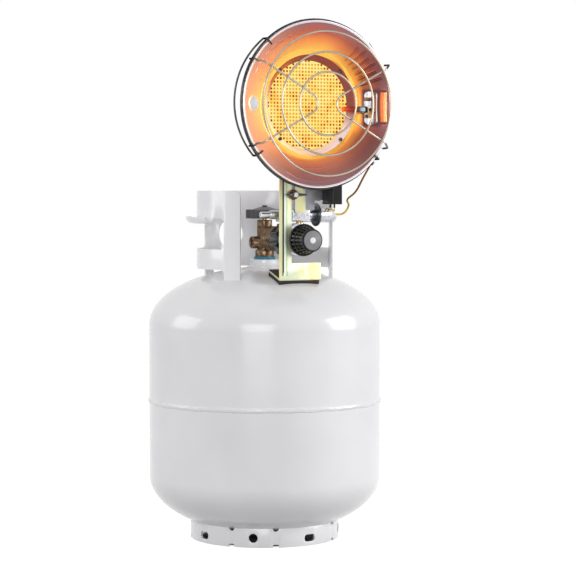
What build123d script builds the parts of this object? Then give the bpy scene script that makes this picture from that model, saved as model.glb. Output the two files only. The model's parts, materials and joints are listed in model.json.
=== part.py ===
from build123d import *
from math import cos, radians, sin, sqrt, tan
import os

# A tank-top propane heater on its 20 lb cylinder.
# Millimetres, +Z up, origin at the centre of the foot ring's bottom. The reflector faces -Y and
# +X is to the right of someone who faces it. "Forward" below is the distance towards -Y.
os.makedirs("parts", exist_ok=True)

# ---------------------------------------------------------------- clearances
running_gap = 0.1           # shaft in its bearing, radial
seat_gap = 0.1              # fixed curved piece in its seat, radial
free_gap = 0.3              # moving piece beside a fixed one
past = 1.0                  # how far a cut runs past the face that it opens
joined = 0.5                # how far the shapes of one piece run into each other

# ---------------------------------------------------------------- cylinder
tank_radius = 155.0
tank_wall = 2.1
tank_floor = 7.0            # lowest point of the lower head above the ground
head_rise = 77.5            # 2:1 elliptical heads
side_height = 201.5         # straight side between the two heads
weld_height = 5.2
weld_proud = 1.5
joggle_rise = 13.0          # how far the lower shell laps inside the upper one

foot_radius = 99.5
foot_wall = 3.0
foot_slot_rise, foot_vent_rise = 10.2, 12.6      # centres above the ground
foot_slot_length, foot_slot_height, foot_slot_corner = 17.0, 9.4, 3.9
foot_slot_angle = 10.2      # first drain slot, from the front towards +X
foot_vent_radius = 6.0
foot_vent_angle = -35.1
foot_notch_step = 17.15     # notches either side of each vent
foot_notch_width, foot_notch_rise, foot_notch_corner = 8.5, 4.0, 1.9
weld_gap_radius, weld_gap_rise = 4.2, 25.4       # half holes under the cylinder, over the notches

collar_radius = 91.0
collar_sheet = 3.0
collar_rise = 101.5         # top edge above the crown of the cylinder
collar_turn = 6.0           # the collar is welded on turned this far, its gap towards +X
collar_opening = 53.0       # half angle of the gap at the front
collar_post_end = 68.3      # the front posts run from the opening to here
collar_window_end = 148.4   # the hand windows end here
collar_leg_end = 160.0      # the rear legs end here
window_sill, window_height = 24.5, 41.0     # above the crown
band_drop = 2.0             # bottom edge of the lower band below the crown
collar_corner = 9.0
window_corner = 6.0
grip_radius = 7.5           # rolled hand grip under the upper band
grip_rise = 1.5             # its centre above the window's top edge
grip_start, grip_end = 80.0, 138.0
rear_hole_radius, rear_hole_rise = 19.5, 42.5

boss_radius, boss_rise, boss_drop = 19.5, 9.8, 8.5      # above and below the crown
boss_weld, boss_weld_rise, boss_chamfer = 5.0, 4.5, 1.0
thread_radius = 12.8        # valve shank in the boss
shank_length = 21.3
seal_radius, seal_height = 14.2, 3.5

# ---------------------------------------------------------------- cylinder valve
outlet_rise = 28.2          # outlet, regulator and knob share this line above the boss
hex_base_radius, hex_base_height, hex_corner = 12.9, 9.4, 1.4
body_barrel_radius, body_rise = 10.5, 15.5
valve_bore = 5.2
outlet_radius, outlet_face = 16.6, 63.0
outlet_thread, outlet_root_radius = 40.0, 9.0
outlet_bore = 7.5
outlet_chamber = 10.0
bonnet_radius, bonnet_height, bonnet_taper = 11.3, 9.0, 1.0
stem_radius, stem_drop = 3.0, 7.5
stem_plug_radius, stem_plug_height, stem_plug_room = 4.9, 6.0, 2.0
wheel_radius, wheel_lobe, wheel_lobes, wheel_lobe_reach = 21.0, 7.0, 7, 18.3
wheel_gap, wheel_rim_height, wheel_rounding = 2.0, 12.0, 1.5
wheel_hub_radius, wheel_hub_height, wheel_hub_taper = 18.0, 3.4, 11.5
wheel_screw_radius, wheel_screw_height, wheel_screw_taper = 4.0, 2.2, 0.8
screw_slot, screw_slot_depth = 0.9, 0.9
relief_drop, relief_radius, relief_reach = 5.5, 8.2, 19.5
relief_plug_radius, relief_plug_depth, relief_plug_sink = 6.2, 8.0, 1.5
relief_cup_radius, relief_cup_depth, relief_pin_radius = 3.6, 2.2, 1.8
bleeder_angle = -45.0       # from the front, towards -X
bleeder_drop, bleeder_depth = 8.0, 2.0
bleeder_boss_radius, bleeder_boss_reach = 4.8, 15.0
bleeder_thread_radius, bleeder_head_radius, bleeder_head_height = 2.0, 3.4, 3.2

dip_tube_radius, dip_tube_wall, dip_tube_length, dip_tube_x = 2.2, 0.8, 56.0, 8.0
opd_radius, opd_wall, opd_height, opd_floor = 10.0, 2.5, 18.0, 2.0
ear_drop, ear_width, ear_sheet, ear_half = 12.0, 8.0, 1.5, 5.5
float_pivot_rise = 4.0      # pivot pin above the ears' lower ends
float_arm_length, float_arm_width, float_hang = 62.0, 3.0, 75.0
float_eye_radius, float_eye_neck = 3.4, 2.5
float_radius, float_length, float_rounding = 11.0, 46.0, 2.0
pivot_pin_radius = 1.5

# ---------------------------------------------------------------- regulator
nut_grip, nut_length = 11.0, 28.0           # length on the outlet's thread, and in all
nut_back_radius, nut_front_radius = 18.9, 21.0
nut_lobe, nut_lobes, nut_lobe_taper, nut_lobe_sink = 4.0, 8, 1.0, 1.0
nut_lobe_start, nut_lobe_end = 4.0, 2.0     # the lobes stop short of the nut's ends
nut_web = 12.3               # inner flange that pulls the nipple in
nipple_radius, nipple_bore, nipple_reach = 6.0, 2.5, 21.0
nipple_nose, nipple_nose_taper = 2.0, 1.5
nipple_shoulder_radius, nipple_shoulder = 12.0, 3.5
nipple_seat = 4.2           # how far the nipple goes into the regulator
nipple_seal_back, nipple_seal_width = 5.0, 3.0
regulator_radius, regulator_depth = 21.0, 15.7
regulator_chamber, regulator_chamber_depth = 15.0, 9.5
regulator_back_radius, regulator_cone, regulator_rounding = 17.0, 3.0, 1.0
outlet_boss_wall, outlet_boss_depth = 1.6, 7.0
diaphragm_thickness, diaphragm_inset = 1.2, 0.4
cover_flange = 3.3
cover_screw_radius, cover_screw_height, cover_screw_inset, cover_screws = 2.1, 1.2, 3.0, 4
neck_radius, neck_wall, neck_length = 11.5, 2.5, 10.0
shaft_radius = 3.0
spring_seat_radius, spring_seat_thickness = 7.0, 1.8
regulator_spring_radius, regulator_spring_wire, regulator_spring_turns = 5.4, 0.8, 3.5

knob_gap, knob_depth = 1.5, 26.0
knob_flange_radius, knob_flange, knob_flange_rounding = 21.0, 3.4, 1.0
knob_core_back, knob_core_front = 17.0, 13.2
knob_rib_back, knob_rib_front = 19.6, 14.6
knob_ribs, knob_rib_width, knob_rib_end = 22, 2.8, 1.5
knob_face, knob_recess, knob_recess_margin = 3.0, 0.8, 2.5
knob_shaft_cover = 4.0      # what covers the shaft's end
knob_cap_radius, knob_cap_height, knob_cap_rounding = 13.4, 1.6, 0.5
knob_dot_radius, knob_dot_height = 3.9, 0.3

# ---------------------------------------------------------------- safety valve and mixing tube
train_back = 6.0            # the gas line upwards stands this far behind the regulator's front
train_x = 6.0
safety_rise = 32.5          # above the outlet's line
safety_half, safety_rounding = 8.5, 1.2     # half the valve's square block
block_left, block_right = 14.0, 12.0        # the block's reach each side of the gas line
safety_barrel_radius, safety_barrel_length = 7.5, 32.0
safety_neck_radius, safety_neck_length = 5.75, 6.0
barrel_bore, barrel_bore_depth, gas_bore = 3.0, 16.0, 2.0
sleeve_radius, sleeve_length = 5.75, 23.0
button_radius, button_proud, button_rounding = 4.0, 14.0, 0.9
button_pin_radius, button_pin_length, button_room = 1.5, 17.0, 14.0
button_spring_radius, button_spring_wire, button_spring_turns = 2.9, 0.6, 6
button_spring_length = 12.0
clamp_radius, clamp_thickness, clamp_along = 15.3, 2.0, 11.0
probe_nut_radius, probe_nut_length, probe_nut_taper = 6.2, 8.0, 3.0
probe_nut_shoulder, probe_nut_nose, probe_nut_thread, probe_nut_thread_length = 4.6, 2.6, 2.9, 6.0
outlet_nipple_radius, outlet_nipple_bore = 4.5, 2.0
jet_radius, jet_tip_radius, jet_nose_radius, jet_bore = 5.0, 3.2, 1.6, 0.6
jet_hex, jet_height, jet_nose, jet_thread = 5.5, 16.5, 3.0, 5.0
tube_radius, tube_wall, tube_rise, tube_foot = 9.0, 1.0, 8.0, 2.5
air_hole_radius, air_hole_rise, air_holes = 3.4, 20.5, 4
lug_half, lug_rise, lug_drop = 10.0, 13.5, 2.0

# ---------------------------------------------------------------- burner head
head_lift = 141.0           # centre of the reflector above the safety valve
plaque_radius, plaque_thickness = 60.0, 12.0
plaque_sink = 7.2           # plaque's face behind the box's front edge
gasket_width, gasket_thickness = 6.0, 2.0
box_margin, box_wall, box_depth, box_rounding = 5.5, 1.2, 52.2, 1.0
box_behind = 11.0           # the box's back behind the gas line
ledge_thickness = 1.2
sheet = 1.0                 # reflector sheet
bowl_tuck, bowl_flat, bowl_cone, bowl_depth = 0.7, 4.5, 34.2, 24.0
rim_width, rim_depth, rim_lip = 1.6, 7.2, 0.9
eye_hole_radius, eye_hole_along = 8.8, 14.5
window_along, window_width, window_rounding = 5.5, 16.5, 3.0
window_low, window_high = -25.0, 20.0
bezel_sheet, bezel_wall = 0.8, 1.2
bezel_lip, bezel_inset, bezel_rise, bezel_lap = 0.9, 3.0, 4.4, 5.2
bezel_screw_out, bezel_screw_radius, bezel_screw_head, bezel_screws = 1.7, 1.2, 2.4, 4
bezel_screw_edge, bezel_screw_crown, bezel_screw_top = 1.0, 0.8, 1.0

# ---------------------------------------------------------------- thermocouple
probe_drop = 5.0            # below the head's centre
probe_lift = 8.8            # in front of the bowl's flat ring
probe_radius, probe_rod, probe_rounding = 3.2, 25.0, 2.4
probe_fitting_radius, probe_fitting, probe_stub_radius, probe_stub = 4.2, 10.4, 2.4, 3.6
strap_sheet = 1.2
strap_low, strap_high = -28.0, 23.0
strap_edge = 0.6            # the strap's edges inside the window's
strap_step = 7.9            # width of the inner strap
strap_inner_lift, strap_outer_lift = 2.9, 7.9
strap_tab_half = 7.0
strap_slot_start, strap_slot_half = 2.8, 3.6
lead_radius, lead_seat, lead_end_gap = 1.3, 3.2, 0.4

# ---------------------------------------------------------------- guard
wire = 1.25                 # wire radius
wire_gap = 0.2              # base ring round the rim
guard_lift = 24.8           # rings in front of the rim
guard_radii = {"inner": 40.0, "middle": 65.0, "outer": 91.0}
hairpin_bend, arm_bend, arm_overhang, arm_drop, arm_lean = 13.0, 8.0, 6.0, 13.0, 1.0
hairpin_angles = {"left": (150.0, 209.0), "right": (28.0, -30.0)}
hook_gap, hook_drop = 0.35, 4.2
base_ring_drop = 5.0
side_arcs = {"left": (132.7, 216.4), "right": (45.7, -38.7)}
side_arc_bulge = 18.3
side_hook_drop, side_hook_reach, side_hook_bend, side_hook_gap = 8.5, 6.0, 1.6, 0.1
clip_angle = -42.0
clip_length, clip_width, clip_height, clip_out, clip_drop = 8.0, 5.0, 5.2, 0.85, 2.7

# ---------------------------------------------------------------- head channel and switch
plate_lift = 3.5            # front face of the support bracket in front of the cover
plate_sheet = 1.5
channel_left, channel_right = -16.5, 31.0
channel_rise, channel_step_rise, channel_step_x = 6.0, 18.0, 22.0    # above the safety valve
channel_flange_rise, channel_flange_height, channel_flange_depth = 24.0, 34.0, 8.0
channel_ear, ear_rise, ear_height = 46.0, 19.0, 27.0
channel_tuck = 10.0         # how far the channel runs up into the burner box's outline
switch_left, switch_width, switch_depth = 33.0, 13.8, 30.0
switch_drop, switch_height, switch_rounding = 5.5, 31.0, 1.0
terminal_radius, terminal_drop = 1.2, 4.5
terminal_forward = (10.0, 21.0)
switch_lead_radius = 0.8
switch_lead_drops, switch_lead_ends = (2.0, 3.5), (44.0, 47.5)
switch_lead_forward, switch_lead_rise, switch_lead_sink = 9.0, 1.2, 0.2
switch_lead_bends = (1.2, 4.0)

# ---------------------------------------------------------------- support bracket
bracket_half = 30.0
slot_left, slot_right = -12.5, -7.5
tine_right, tine_rise = 7.8, 3.0            # lower end of the tine above the safety valve
bracket_rise, bridge_height = 56.0, 8.0
bracket_corner = 2.5
dome_gap = 5.5              # the base's front corner above the dome
base_height = 22.5
base_depth, base_slope = 34.0, 18.6
groove_x, groove_radius, groove_proud = -21.9, 3.1, 1.4
groove_foot, groove_head = 12.5, 12.0       # the groove's ends inside the plate's
pad_thickness, pad_inset = 9.0, 1.2
pad_skin, pad_front = 1.0, 4.0      # the rubber wraps round the base's back edge and over its top
screw_x, screw_rise = -10.0, 26.0
screw_radius, screw_nut_radius, screw_nut = 2.0, 4.2, 5.0
screw_flange_radius, screw_flange = 6.4, 2.6
screw_boss_radius, screw_boss = 3.5, 8.0
wing_span, wing_thickness, wing_height = 28.6, 2.4, 6.5

# ---------------------------------------------------------------- worked-out heights
lower_tangent = tank_floor + head_rise
upper_tangent = lower_tangent + side_height
crown = upper_tangent + head_rise
girth = (lower_tangent + upper_tangent) / 2
collar_top = crown + collar_rise
window_bottom = crown + window_sill
window_top = window_bottom + window_height
band_bottom = crown - band_drop
boss_top = crown + boss_rise
shank_bottom = boss_top - shank_length
outlet_height = boss_top + outlet_rise
body_top = outlet_height + body_rise
bonnet_top = body_top + bonnet_height
stem_foot = outlet_height - stem_drop
wheel_bottom = bonnet_top + wheel_gap
wheel_rim_top = wheel_bottom + wheel_rim_height
wheel_top = wheel_rim_top + wheel_hub_height
relief_height = outlet_height - relief_drop
bleeder_height = outlet_height - bleeder_drop
ear_bottom = shank_bottom - opd_height - ear_drop
float_pivot_height = ear_bottom + float_pivot_rise
safety_height = outlet_height + safety_rise
safety_top = safety_height + safety_half
head_height = safety_height + head_lift
screw_height = safety_height + screw_rise
bracket_top = safety_height + bracket_rise

# ---------------------------------------------------------------- worked-out distances forward
nut_back = outlet_face - nut_grip
nut_front = nut_back + nut_length
nipple_tip = outlet_face - nipple_reach
nipple_shoulder_back = nut_front - nut_web - free_gap - nipple_shoulder
regulator_back = nut_front + free_gap
regulator_front = regulator_back + regulator_depth
train_forward = regulator_front - train_back
diaphragm_front = regulator_front + diaphragm_thickness
cover_front = diaphragm_front + cover_flange
neck_front = cover_front + neck_length
spring_seat_back = neck_front - neck_wall - spring_seat_thickness - free_gap
knob_back = neck_front + knob_gap
knob_front = knob_back + knob_depth
plate_front = cover_front + plate_lift
channel_face = plate_front - plate_sheet - free_gap
channel_back = channel_face - plate_sheet
box_back = train_forward - box_behind
box_front = box_back + box_depth
plaque_front = box_front - plaque_sink
ledge_front = plaque_front - plaque_thickness - gasket_thickness
bowl_front = box_front + sheet
rim_forward = bowl_front + bowl_depth
rim_back = rim_forward - rim_depth
probe_forward = bowl_front + probe_lift
guard_forward = rim_forward + guard_lift

# ---------------------------------------------------------------- worked-out sizes across
safety_left, safety_right = train_x - block_left, train_x + block_right
safety_neck_end = safety_left - safety_neck_length
safety_barrel_end = safety_right + safety_barrel_length
button_inner = safety_neck_end - button_spring_length
sleeve_end = safety_neck_end - sleeve_length
box_bore = plaque_radius + box_margin
box_radius = box_bore + box_wall
bowl_inner = box_radius - bowl_tuck
bowl_crease = bowl_inner + bowl_flat
bowl_rim = bowl_crease + bowl_cone
bowl_slope = bowl_depth / bowl_cone
rim_radius = bowl_rim + rim_width
window_inner = bowl_crease + window_along
window_outer = window_inner + window_width
strap_inner, strap_outer = window_inner + strap_edge, window_outer - strap_edge
strap_fold = strap_inner + strap_step
base_ring_radius = rim_radius + wire + wire_gap
hook_radius = base_ring_radius + 2 * wire + hook_gap
dome_at_plate = upper_tangent + head_rise * sqrt(1 - (plate_front / tank_radius) ** 2)
base_bottom = dome_at_plate + dome_gap


# ---------------------------------------------------------------- helpers
FROM_BASE = (Align.CENTER, Align.CENTER, Align.MIN)
FROM_TOP = (Align.CENTER, Align.CENTER, Align.MAX)


def disc(radius, bottom, top):
    """A cylinder on the Z axis between two heights."""
    return Pos(0, 0, bottom) * Cylinder(radius, top - bottom, align=FROM_BASE)


def tube(outer, inner, bottom, top):
    """A ring on the Z axis between two heights."""
    return disc(outer, bottom, top) - disc(inner, bottom - past, top + past)


def turned(*points):
    """The solid that a closed outline of (radius, height) points sweeps round the Z axis."""
    outline = Polyline(*[(radius, 0, height) for radius, height in points], close=True)
    return revolve(make_face(outline), Axis.Z)


def cone(bottom_radius, top_radius, bottom, top):
    """A solid cone frustum on the Z axis between two heights."""
    return turned((0, bottom), (bottom_radius, bottom), (top_radius, top), (0, top))


def block(x, forward, z):
    """A box between three pairs of limits: to the right, forward and up."""
    centre = Pos(sum(x) / 2, -sum(forward) / 2, sum(z) / 2)
    return centre * Box(x[1] - x[0], forward[1] - forward[0], z[1] - z[0])


def facing(shape, height, x=0.0):
    """Turns a shape built about Z to face forward, at this height."""
    return Pos(x, 0, height) * Rot(90, 0, 0) * shape


def sideways(shape, height, forward=0.0):
    """Turns a shape built about Z to point to +X, at this height and distance forward."""
    return Pos(0, -forward, height) * Rot(0, 90, 0) * shape


def on_train(shape):
    """Moves a shape built about Z onto the upright gas line."""
    return Pos(train_x, -train_forward, 0) * shape


def wall_plane(angle, height):
    """The plane at an angle from the front (towards +X) that faces out from the Z axis."""
    out = Vector(sin(radians(angle)), -cos(radians(angle)), 0)
    along = Vector(cos(radians(angle)), sin(radians(angle)), 0)
    return Plane(origin=Vector(0, 0, height), x_dir=along, z_dir=out)


def sector(start, end, inner, outer, bottom, top):
    """A piece of a ring between two angles from the front."""
    outline = Polyline((inner, 0, bottom), (outer, 0, bottom), (outer, 0, top), (inner, 0, top), close=True)
    return Rot(0, 0, start - 90) * revolve(make_face(outline), Axis.Z, revolution_arc=end - start)


def swept(path, radius):
    """A round wire along a path."""
    return sweep(Plane(origin=path @ 0, z_dir=path % 0) * Circle(radius), path=path)


def bent(points, radius, bends):
    """A round wire through points, with a bend radius at each corner."""
    return swept(FilletPolyline(*points, radius=bends), radius)


def coil(radius, wire_radius, bottom, top, turns):
    """A coil spring on the Z axis between two heights."""
    height = top - bottom - 2 * wire_radius
    path = Helix(height / turns, height, radius, center=(0, 0, bottom + wire_radius))
    return swept(path, wire_radius)


def hexagon(corner_radius, bottom, top):
    """A hexagonal prism on the Z axis."""
    return Pos(0, 0, bottom) * extrude(RegularPolygon(corner_radius, 6), top - bottom)


def write(name, shape):
    """Writes one sub-part."""
    export_step(shape, f"parts/{name}.step")


# ---------------------------------------------------------------- cylinder shells
def head_outline(radius, rise, height, start):
    """A quarter ellipse of a tank head, drawn in the XZ plane."""
    return EllipticalCenterArc((0, height), radius, rise, start_angle=start, arc_size=90)


def upper_solid(shrink, bottom):
    """The inside or outside form of the upper half, down to a height."""
    radius, rise = tank_radius - shrink, head_rise - shrink
    arc = head_outline(radius, rise, upper_tangent, 0)
    sides = Polyline((0, upper_tangent + rise), (0, bottom), (radius, bottom), (radius, upper_tangent))
    return revolve(Plane.XZ * make_face([arc, sides]), Axis.Z)


def lower_solid(shrink, top):
    """The inside or outside form of the lower half, up to a height."""
    radius, rise = tank_radius - shrink, head_rise - shrink
    arc = head_outline(radius, rise, lower_tangent, -90)
    sides = Polyline((radius, lower_tangent), (radius, top), (0, top), (0, lower_tangent - rise))
    return revolve(Plane.XZ * make_face([arc, sides]), Axis.Z)


weld_bottom, weld_top = girth - weld_height / 2, girth + weld_height / 2
upper_form = upper_solid(0, weld_top)
lower_form = lower_solid(0, weld_bottom)
shell_bore = tank_radius - tank_wall


def make_upper_shell():
    shell = upper_form - upper_solid(tank_wall, weld_top - past)
    return shell - disc(boss_radius + seat_gap, upper_tangent, crown + past)


def make_lower_shell():
    lap_outer = shell_bore - seat_gap
    lap_inner = lap_outer - tank_wall
    joggle = turned(
        (shell_bore + joined, weld_bottom - 2 * tank_wall), (shell_bore + joined, weld_bottom),
        (lap_outer, weld_bottom), (lap_outer, weld_bottom + joggle_rise),
        (lap_inner, weld_bottom + joggle_rise), (lap_inner, weld_bottom - tank_wall),
    )
    return lower_form - lower_solid(tank_wall, weld_bottom + past) + joggle


def make_weld_band():
    top, bottom = (tank_radius, weld_top), (tank_radius, weld_bottom)
    bulge = ThreePointArc(top, (tank_radius + weld_proud, girth), bottom)
    back = Polyline(bottom, (shell_bore, weld_bottom), (shell_bore, weld_top), top)
    return revolve(Plane.XZ * make_face([bulge, back]), Axis.Z)


def make_foot_ring():
    ring = tube(foot_radius, foot_radius - foot_wall, 0, lower_tangent)
    through = foot_radius + past
    cutters = []
    for quarter in range(4):
        slot_plane = wall_plane(foot_slot_angle + 90 * quarter, foot_slot_rise)
        vent_plane = wall_plane(foot_vent_angle + 90 * quarter, foot_vent_rise)
        slot = RectangleRounded(foot_slot_length, foot_slot_height, foot_slot_corner)
        cutters.append(slot_plane * extrude(slot, through))
        cutters.append(vent_plane * extrude(Circle(foot_vent_radius), through))
        for side in (-1, 1):
            angle = foot_vent_angle + side * foot_notch_step + 90 * quarter
            notch = RectangleRounded(foot_notch_width, 2 * foot_notch_rise, foot_notch_corner)
            cutters.append(wall_plane(angle, 0) * extrude(notch, through))
            cutters.append(wall_plane(angle, weld_gap_rise) * extrude(Circle(weld_gap_radius), through))
    return ring - lower_form - cutters


# ---------------------------------------------------------------- collar
def corner_filler(angle, height, across, up, radius):
    """What rounds one corner of an opening in the collar, at (angle, height).

    across and up (+1 or -1) say which way the opening lies from the corner.
    """
    size = radius + joined
    inset = (radius - joined) / 2
    square = Pos(across * inset, up * inset) * Rectangle(size, size)
    corner = square - Pos(across * radius, up * radius) * Circle(radius)
    reach = 4 * collar_sheet
    return wall_plane(angle, height) * (Pos(0, 0, collar_radius - reach) * extrude(corner, 2 * reach))


def make_collar():
    inner = collar_radius - collar_sheet
    low, high = inner - past, collar_radius + past
    wall = sector(collar_opening, 360 - collar_opening, inner, collar_radius, upper_tangent, collar_top)
    cutters = [wall_plane(180, crown + rear_hole_rise) * extrude(Circle(rear_hole_radius), high)]
    cutters.append(sector(collar_leg_end, 360 - collar_leg_end, low, high, upper_tangent, band_bottom))
    for side in (1, -1):
        start, end = sorted((side * collar_post_end, side * collar_window_end))
        window = sector(start, end, low, high, window_bottom, window_top)
        gap = sector(start, end, low, high, upper_tangent, band_bottom)
        for edge, inward in ((start, 1), (end, -1)):
            window -= corner_filler(edge, window_bottom, inward, 1, window_corner)
            window -= corner_filler(edge, window_top, inward, -1, window_corner)
            gap -= corner_filler(edge, band_bottom, inward, -1, window_corner)
        cutters += [window, gap]
        cutters.append(corner_filler(side * collar_opening, collar_top, side, -1, collar_corner))
    collar = wall - cutters - upper_form
    for side in (1, -1):
        start, end = sorted((side * grip_start, side * grip_end))
        centre = collar_radius - collar_sheet / 2 + grip_radius
        ring = Circle(grip_radius + collar_sheet / 2) - Circle(grip_radius - collar_sheet / 2)
        lower_half = ring & Pos(0, -grip_radius) * Rectangle(4 * grip_radius, 2 * grip_radius)
        curl = Plane.XZ * (Pos(centre, window_top + grip_rise) * lower_half)
        collar += Rot(0, 0, start - 90) * revolve(curl, Axis.Z, revolution_arc=end - start)
    return Rot(0, 0, collar_turn) * collar


def make_neck_boss():
    boss = turned(
        (0, crown - boss_drop), (boss_radius, crown - boss_drop), (boss_radius, boss_top - boss_chamfer),
        (boss_radius - boss_chamfer, boss_top), (0, boss_top),
    )
    start, end = boss_radius - joined, boss_radius + boss_weld
    weld = turned(
        (start, crown - boss_weld), (end, crown - boss_weld), (end, crown - 0.1 * boss_weld_rise),
        (boss_radius + 0.3 * boss_weld, crown + 0.4 * boss_weld_rise),
        (boss_radius, crown + boss_weld_rise), (start, crown + boss_weld_rise),
    )
    return boss + (weld - upper_form) - disc(thread_radius + seat_gap, 0, 2 * crown)


def make_thread_seal():
    return tube(seal_radius, thread_radius, boss_top, boss_top + seal_height)


# ---------------------------------------------------------------- cylinder valve
def make_valve_body():
    hex_bottom = boss_top + seal_height
    hex_top = hex_bottom + hex_base_height
    outlet_root = outlet_face - outlet_thread
    relief_end = -relief_reach + relief_plug_depth
    on_bleeder = wall_plane(bleeder_angle, bleeder_height)
    body = hexagon(hex_base_radius + hex_corner, hex_bottom, hex_top)
    body &= disc(hex_base_radius, hex_bottom, hex_top)
    body += disc(body_barrel_radius, hex_top - joined, body_top)
    body += disc(thread_radius, shank_bottom, hex_bottom)
    body += facing(disc(outlet_radius, outlet_root, outlet_face), outlet_height)
    body += facing(disc(outlet_root_radius, 0, outlet_root), outlet_height)
    body += sideways(disc(relief_radius, -relief_reach, 0), relief_height)
    body += on_bleeder * disc(bleeder_boss_radius, 0, bleeder_boss_reach)
    bleeder_bore = disc(
        bleeder_thread_radius + running_gap, body_barrel_radius - bleeder_depth, bleeder_boss_reach + past
    )
    return body - [
        disc(valve_bore, stem_foot - stem_plug_room, body_top + past),
        disc(stem_radius, 0, stem_foot),
        facing(disc(outlet_bore, outlet_chamber, outlet_face + past), outlet_height),
        facing(disc(stem_radius, 0, outlet_chamber + past), outlet_height),
        sideways(disc(relief_plug_radius, -relief_reach - past, relief_end), relief_height),
        on_bleeder * bleeder_bore,
    ]


def make_bonnet():
    bonnet = hexagon(bonnet_radius, body_top, bonnet_top)
    bonnet &= cone(bonnet_radius, bonnet_radius - bonnet_taper, body_top, bonnet_top)
    return bonnet - disc(stem_radius + running_gap, body_top - past, bonnet_top + past)


def make_stem():
    plug = disc(stem_plug_radius, stem_foot, stem_foot + stem_plug_height)
    return disc(stem_radius, stem_foot, wheel_rim_top) + plug


def make_handwheel():
    outline = Circle(wheel_radius)
    for index in range(wheel_lobes):
        outline += Rot(0, 0, 360 / wheel_lobes * index) * (Pos(wheel_lobe_reach, 0) * Circle(wheel_lobe))
    rim = Pos(0, 0, wheel_bottom) * extrude(outline, wheel_rim_height)
    rim = fillet(rim.edges().group_by(Axis.Z)[-1], wheel_rounding)
    hub = cone(wheel_hub_radius, wheel_hub_radius - wheel_hub_taper, wheel_rim_top - joined, wheel_top)
    return rim + hub - disc(stem_radius, wheel_bottom - past, wheel_rim_top)


def make_handwheel_screw():
    top = wheel_top + wheel_screw_height
    head = cone(wheel_screw_radius, wheel_screw_radius - wheel_screw_taper, wheel_top, top)
    return head - Pos(0, 0, top) * Box(screw_slot, 2 * wheel_screw_radius, 2 * screw_slot_depth)


def make_relief_valve():
    face = -relief_reach + relief_plug_sink
    cup_end = face + relief_cup_depth
    plug = disc(relief_plug_radius, face, -relief_reach + relief_plug_depth)
    plug -= disc(relief_cup_radius, face - past, cup_end)
    return sideways(plug + disc(relief_pin_radius, face + free_gap, cup_end + joined), relief_height)


def make_bleeder_screw():
    seat = bleeder_boss_reach + free_gap
    top = seat + bleeder_head_height
    screw = disc(bleeder_thread_radius, body_barrel_radius - bleeder_depth / 2, seat + joined)
    screw += disc(bleeder_head_radius, seat, top)
    screw -= Pos(0, 0, top) * Box(2 * bleeder_head_radius + past, screw_slot, 2 * screw_slot_depth)
    return wall_plane(bleeder_angle, bleeder_height) * screw


# ---------------------------------------------------------------- overfill stop inside the tank
def make_dip_tube():
    bottom = shank_bottom - dip_tube_length
    pipe = tube(dip_tube_radius, dip_tube_radius - dip_tube_wall, bottom, shank_bottom)
    return Pos(-dip_tube_x, 0, 0) * pipe


def make_opd_housing():
    floor = shank_bottom - opd_height
    housing = disc(opd_radius, floor, shank_bottom)
    housing -= disc(opd_radius - opd_wall, floor + opd_floor, shank_bottom + past)
    housing -= Pos(-dip_tube_x, 0, 0) * disc(dip_tube_radius + free_gap, floor - past, shank_bottom + past)
    for side in (-1, 1):
        ear = Box(ear_width, ear_sheet, ear_drop + opd_floor, align=FROM_BASE)
        housing += Pos(0, side * (ear_half - ear_sheet / 2), ear_bottom) * ear
    pin = Pos(0, 0, float_pivot_height) * Rot(90, 0, 0) * Cylinder(pivot_pin_radius, 2 * ear_half)
    return housing + pin


def hanging(shape):
    """Places what is built down from the float's pivot at its resting angle."""
    return Pos(0, 0, float_pivot_height) * Rot(0, -(90 - float_hang), 0) * shape


def make_float_arm():
    eye_width = 2 * (ear_half - ear_sheet - free_gap)
    eye = Rot(90, 0, 0) * Cylinder(float_eye_radius, eye_width)
    arm = Box(float_arm_width, float_arm_width, float_arm_length - float_length / 2, align=FROM_TOP)
    hole = Rot(90, 0, 0) * Cylinder(pivot_pin_radius + running_gap, eye_width + 2 * past)
    return hanging(eye + Pos(0, 0, -float_eye_neck) * arm - hole)


def make_tank_float():
    top = -float_eye_neck - float_arm_length + float_length / 2
    return hanging(fillet(disc(float_radius, top - float_length, top).edges(), float_rounding))


# ---------------------------------------------------------------- regulator
def make_inlet_nipple():
    end = regulator_back + nipple_seat
    nose = cone(nipple_radius - nipple_nose_taper, nipple_radius, nipple_tip, nipple_tip + nipple_nose)
    form = nose + disc(nipple_radius, nipple_tip + nipple_nose, end)
    shoulder_front = nipple_shoulder_back + nipple_shoulder
    form += disc(nipple_shoulder_radius, nipple_shoulder_back, shoulder_front)
    return facing(form - disc(nipple_bore, nipple_tip - past, end + past), outlet_height)


def make_nipple_seal():
    back = nipple_tip + nipple_seal_back
    seal = tube(outlet_bore - seat_gap, nipple_radius, back, back + nipple_seal_width)
    return facing(seal, outlet_height)


def make_coupling_nut():
    form = cone(nut_back_radius, nut_front_radius, nut_back, nut_front)
    reach = (nut_back_radius + nut_front_radius) / 2 - nut_lobe_sink
    lobe_length = nut_length - nut_lobe_start - nut_lobe_end
    lobe = Cone(nut_lobe - nut_lobe_taper, nut_lobe, lobe_length, align=FROM_BASE)
    for index in range(nut_lobes):
        form += Rot(0, 0, 360 / nut_lobes * (index + 0.5)) * Pos(reach, 0, nut_back + nut_lobe_start) * lobe
    form -= disc(outlet_radius + free_gap, nut_back - past, nut_front - nut_web)
    form -= disc(nipple_radius + 2 * free_gap, nut_back, nut_front + past)
    return facing(form, outlet_height)


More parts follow.
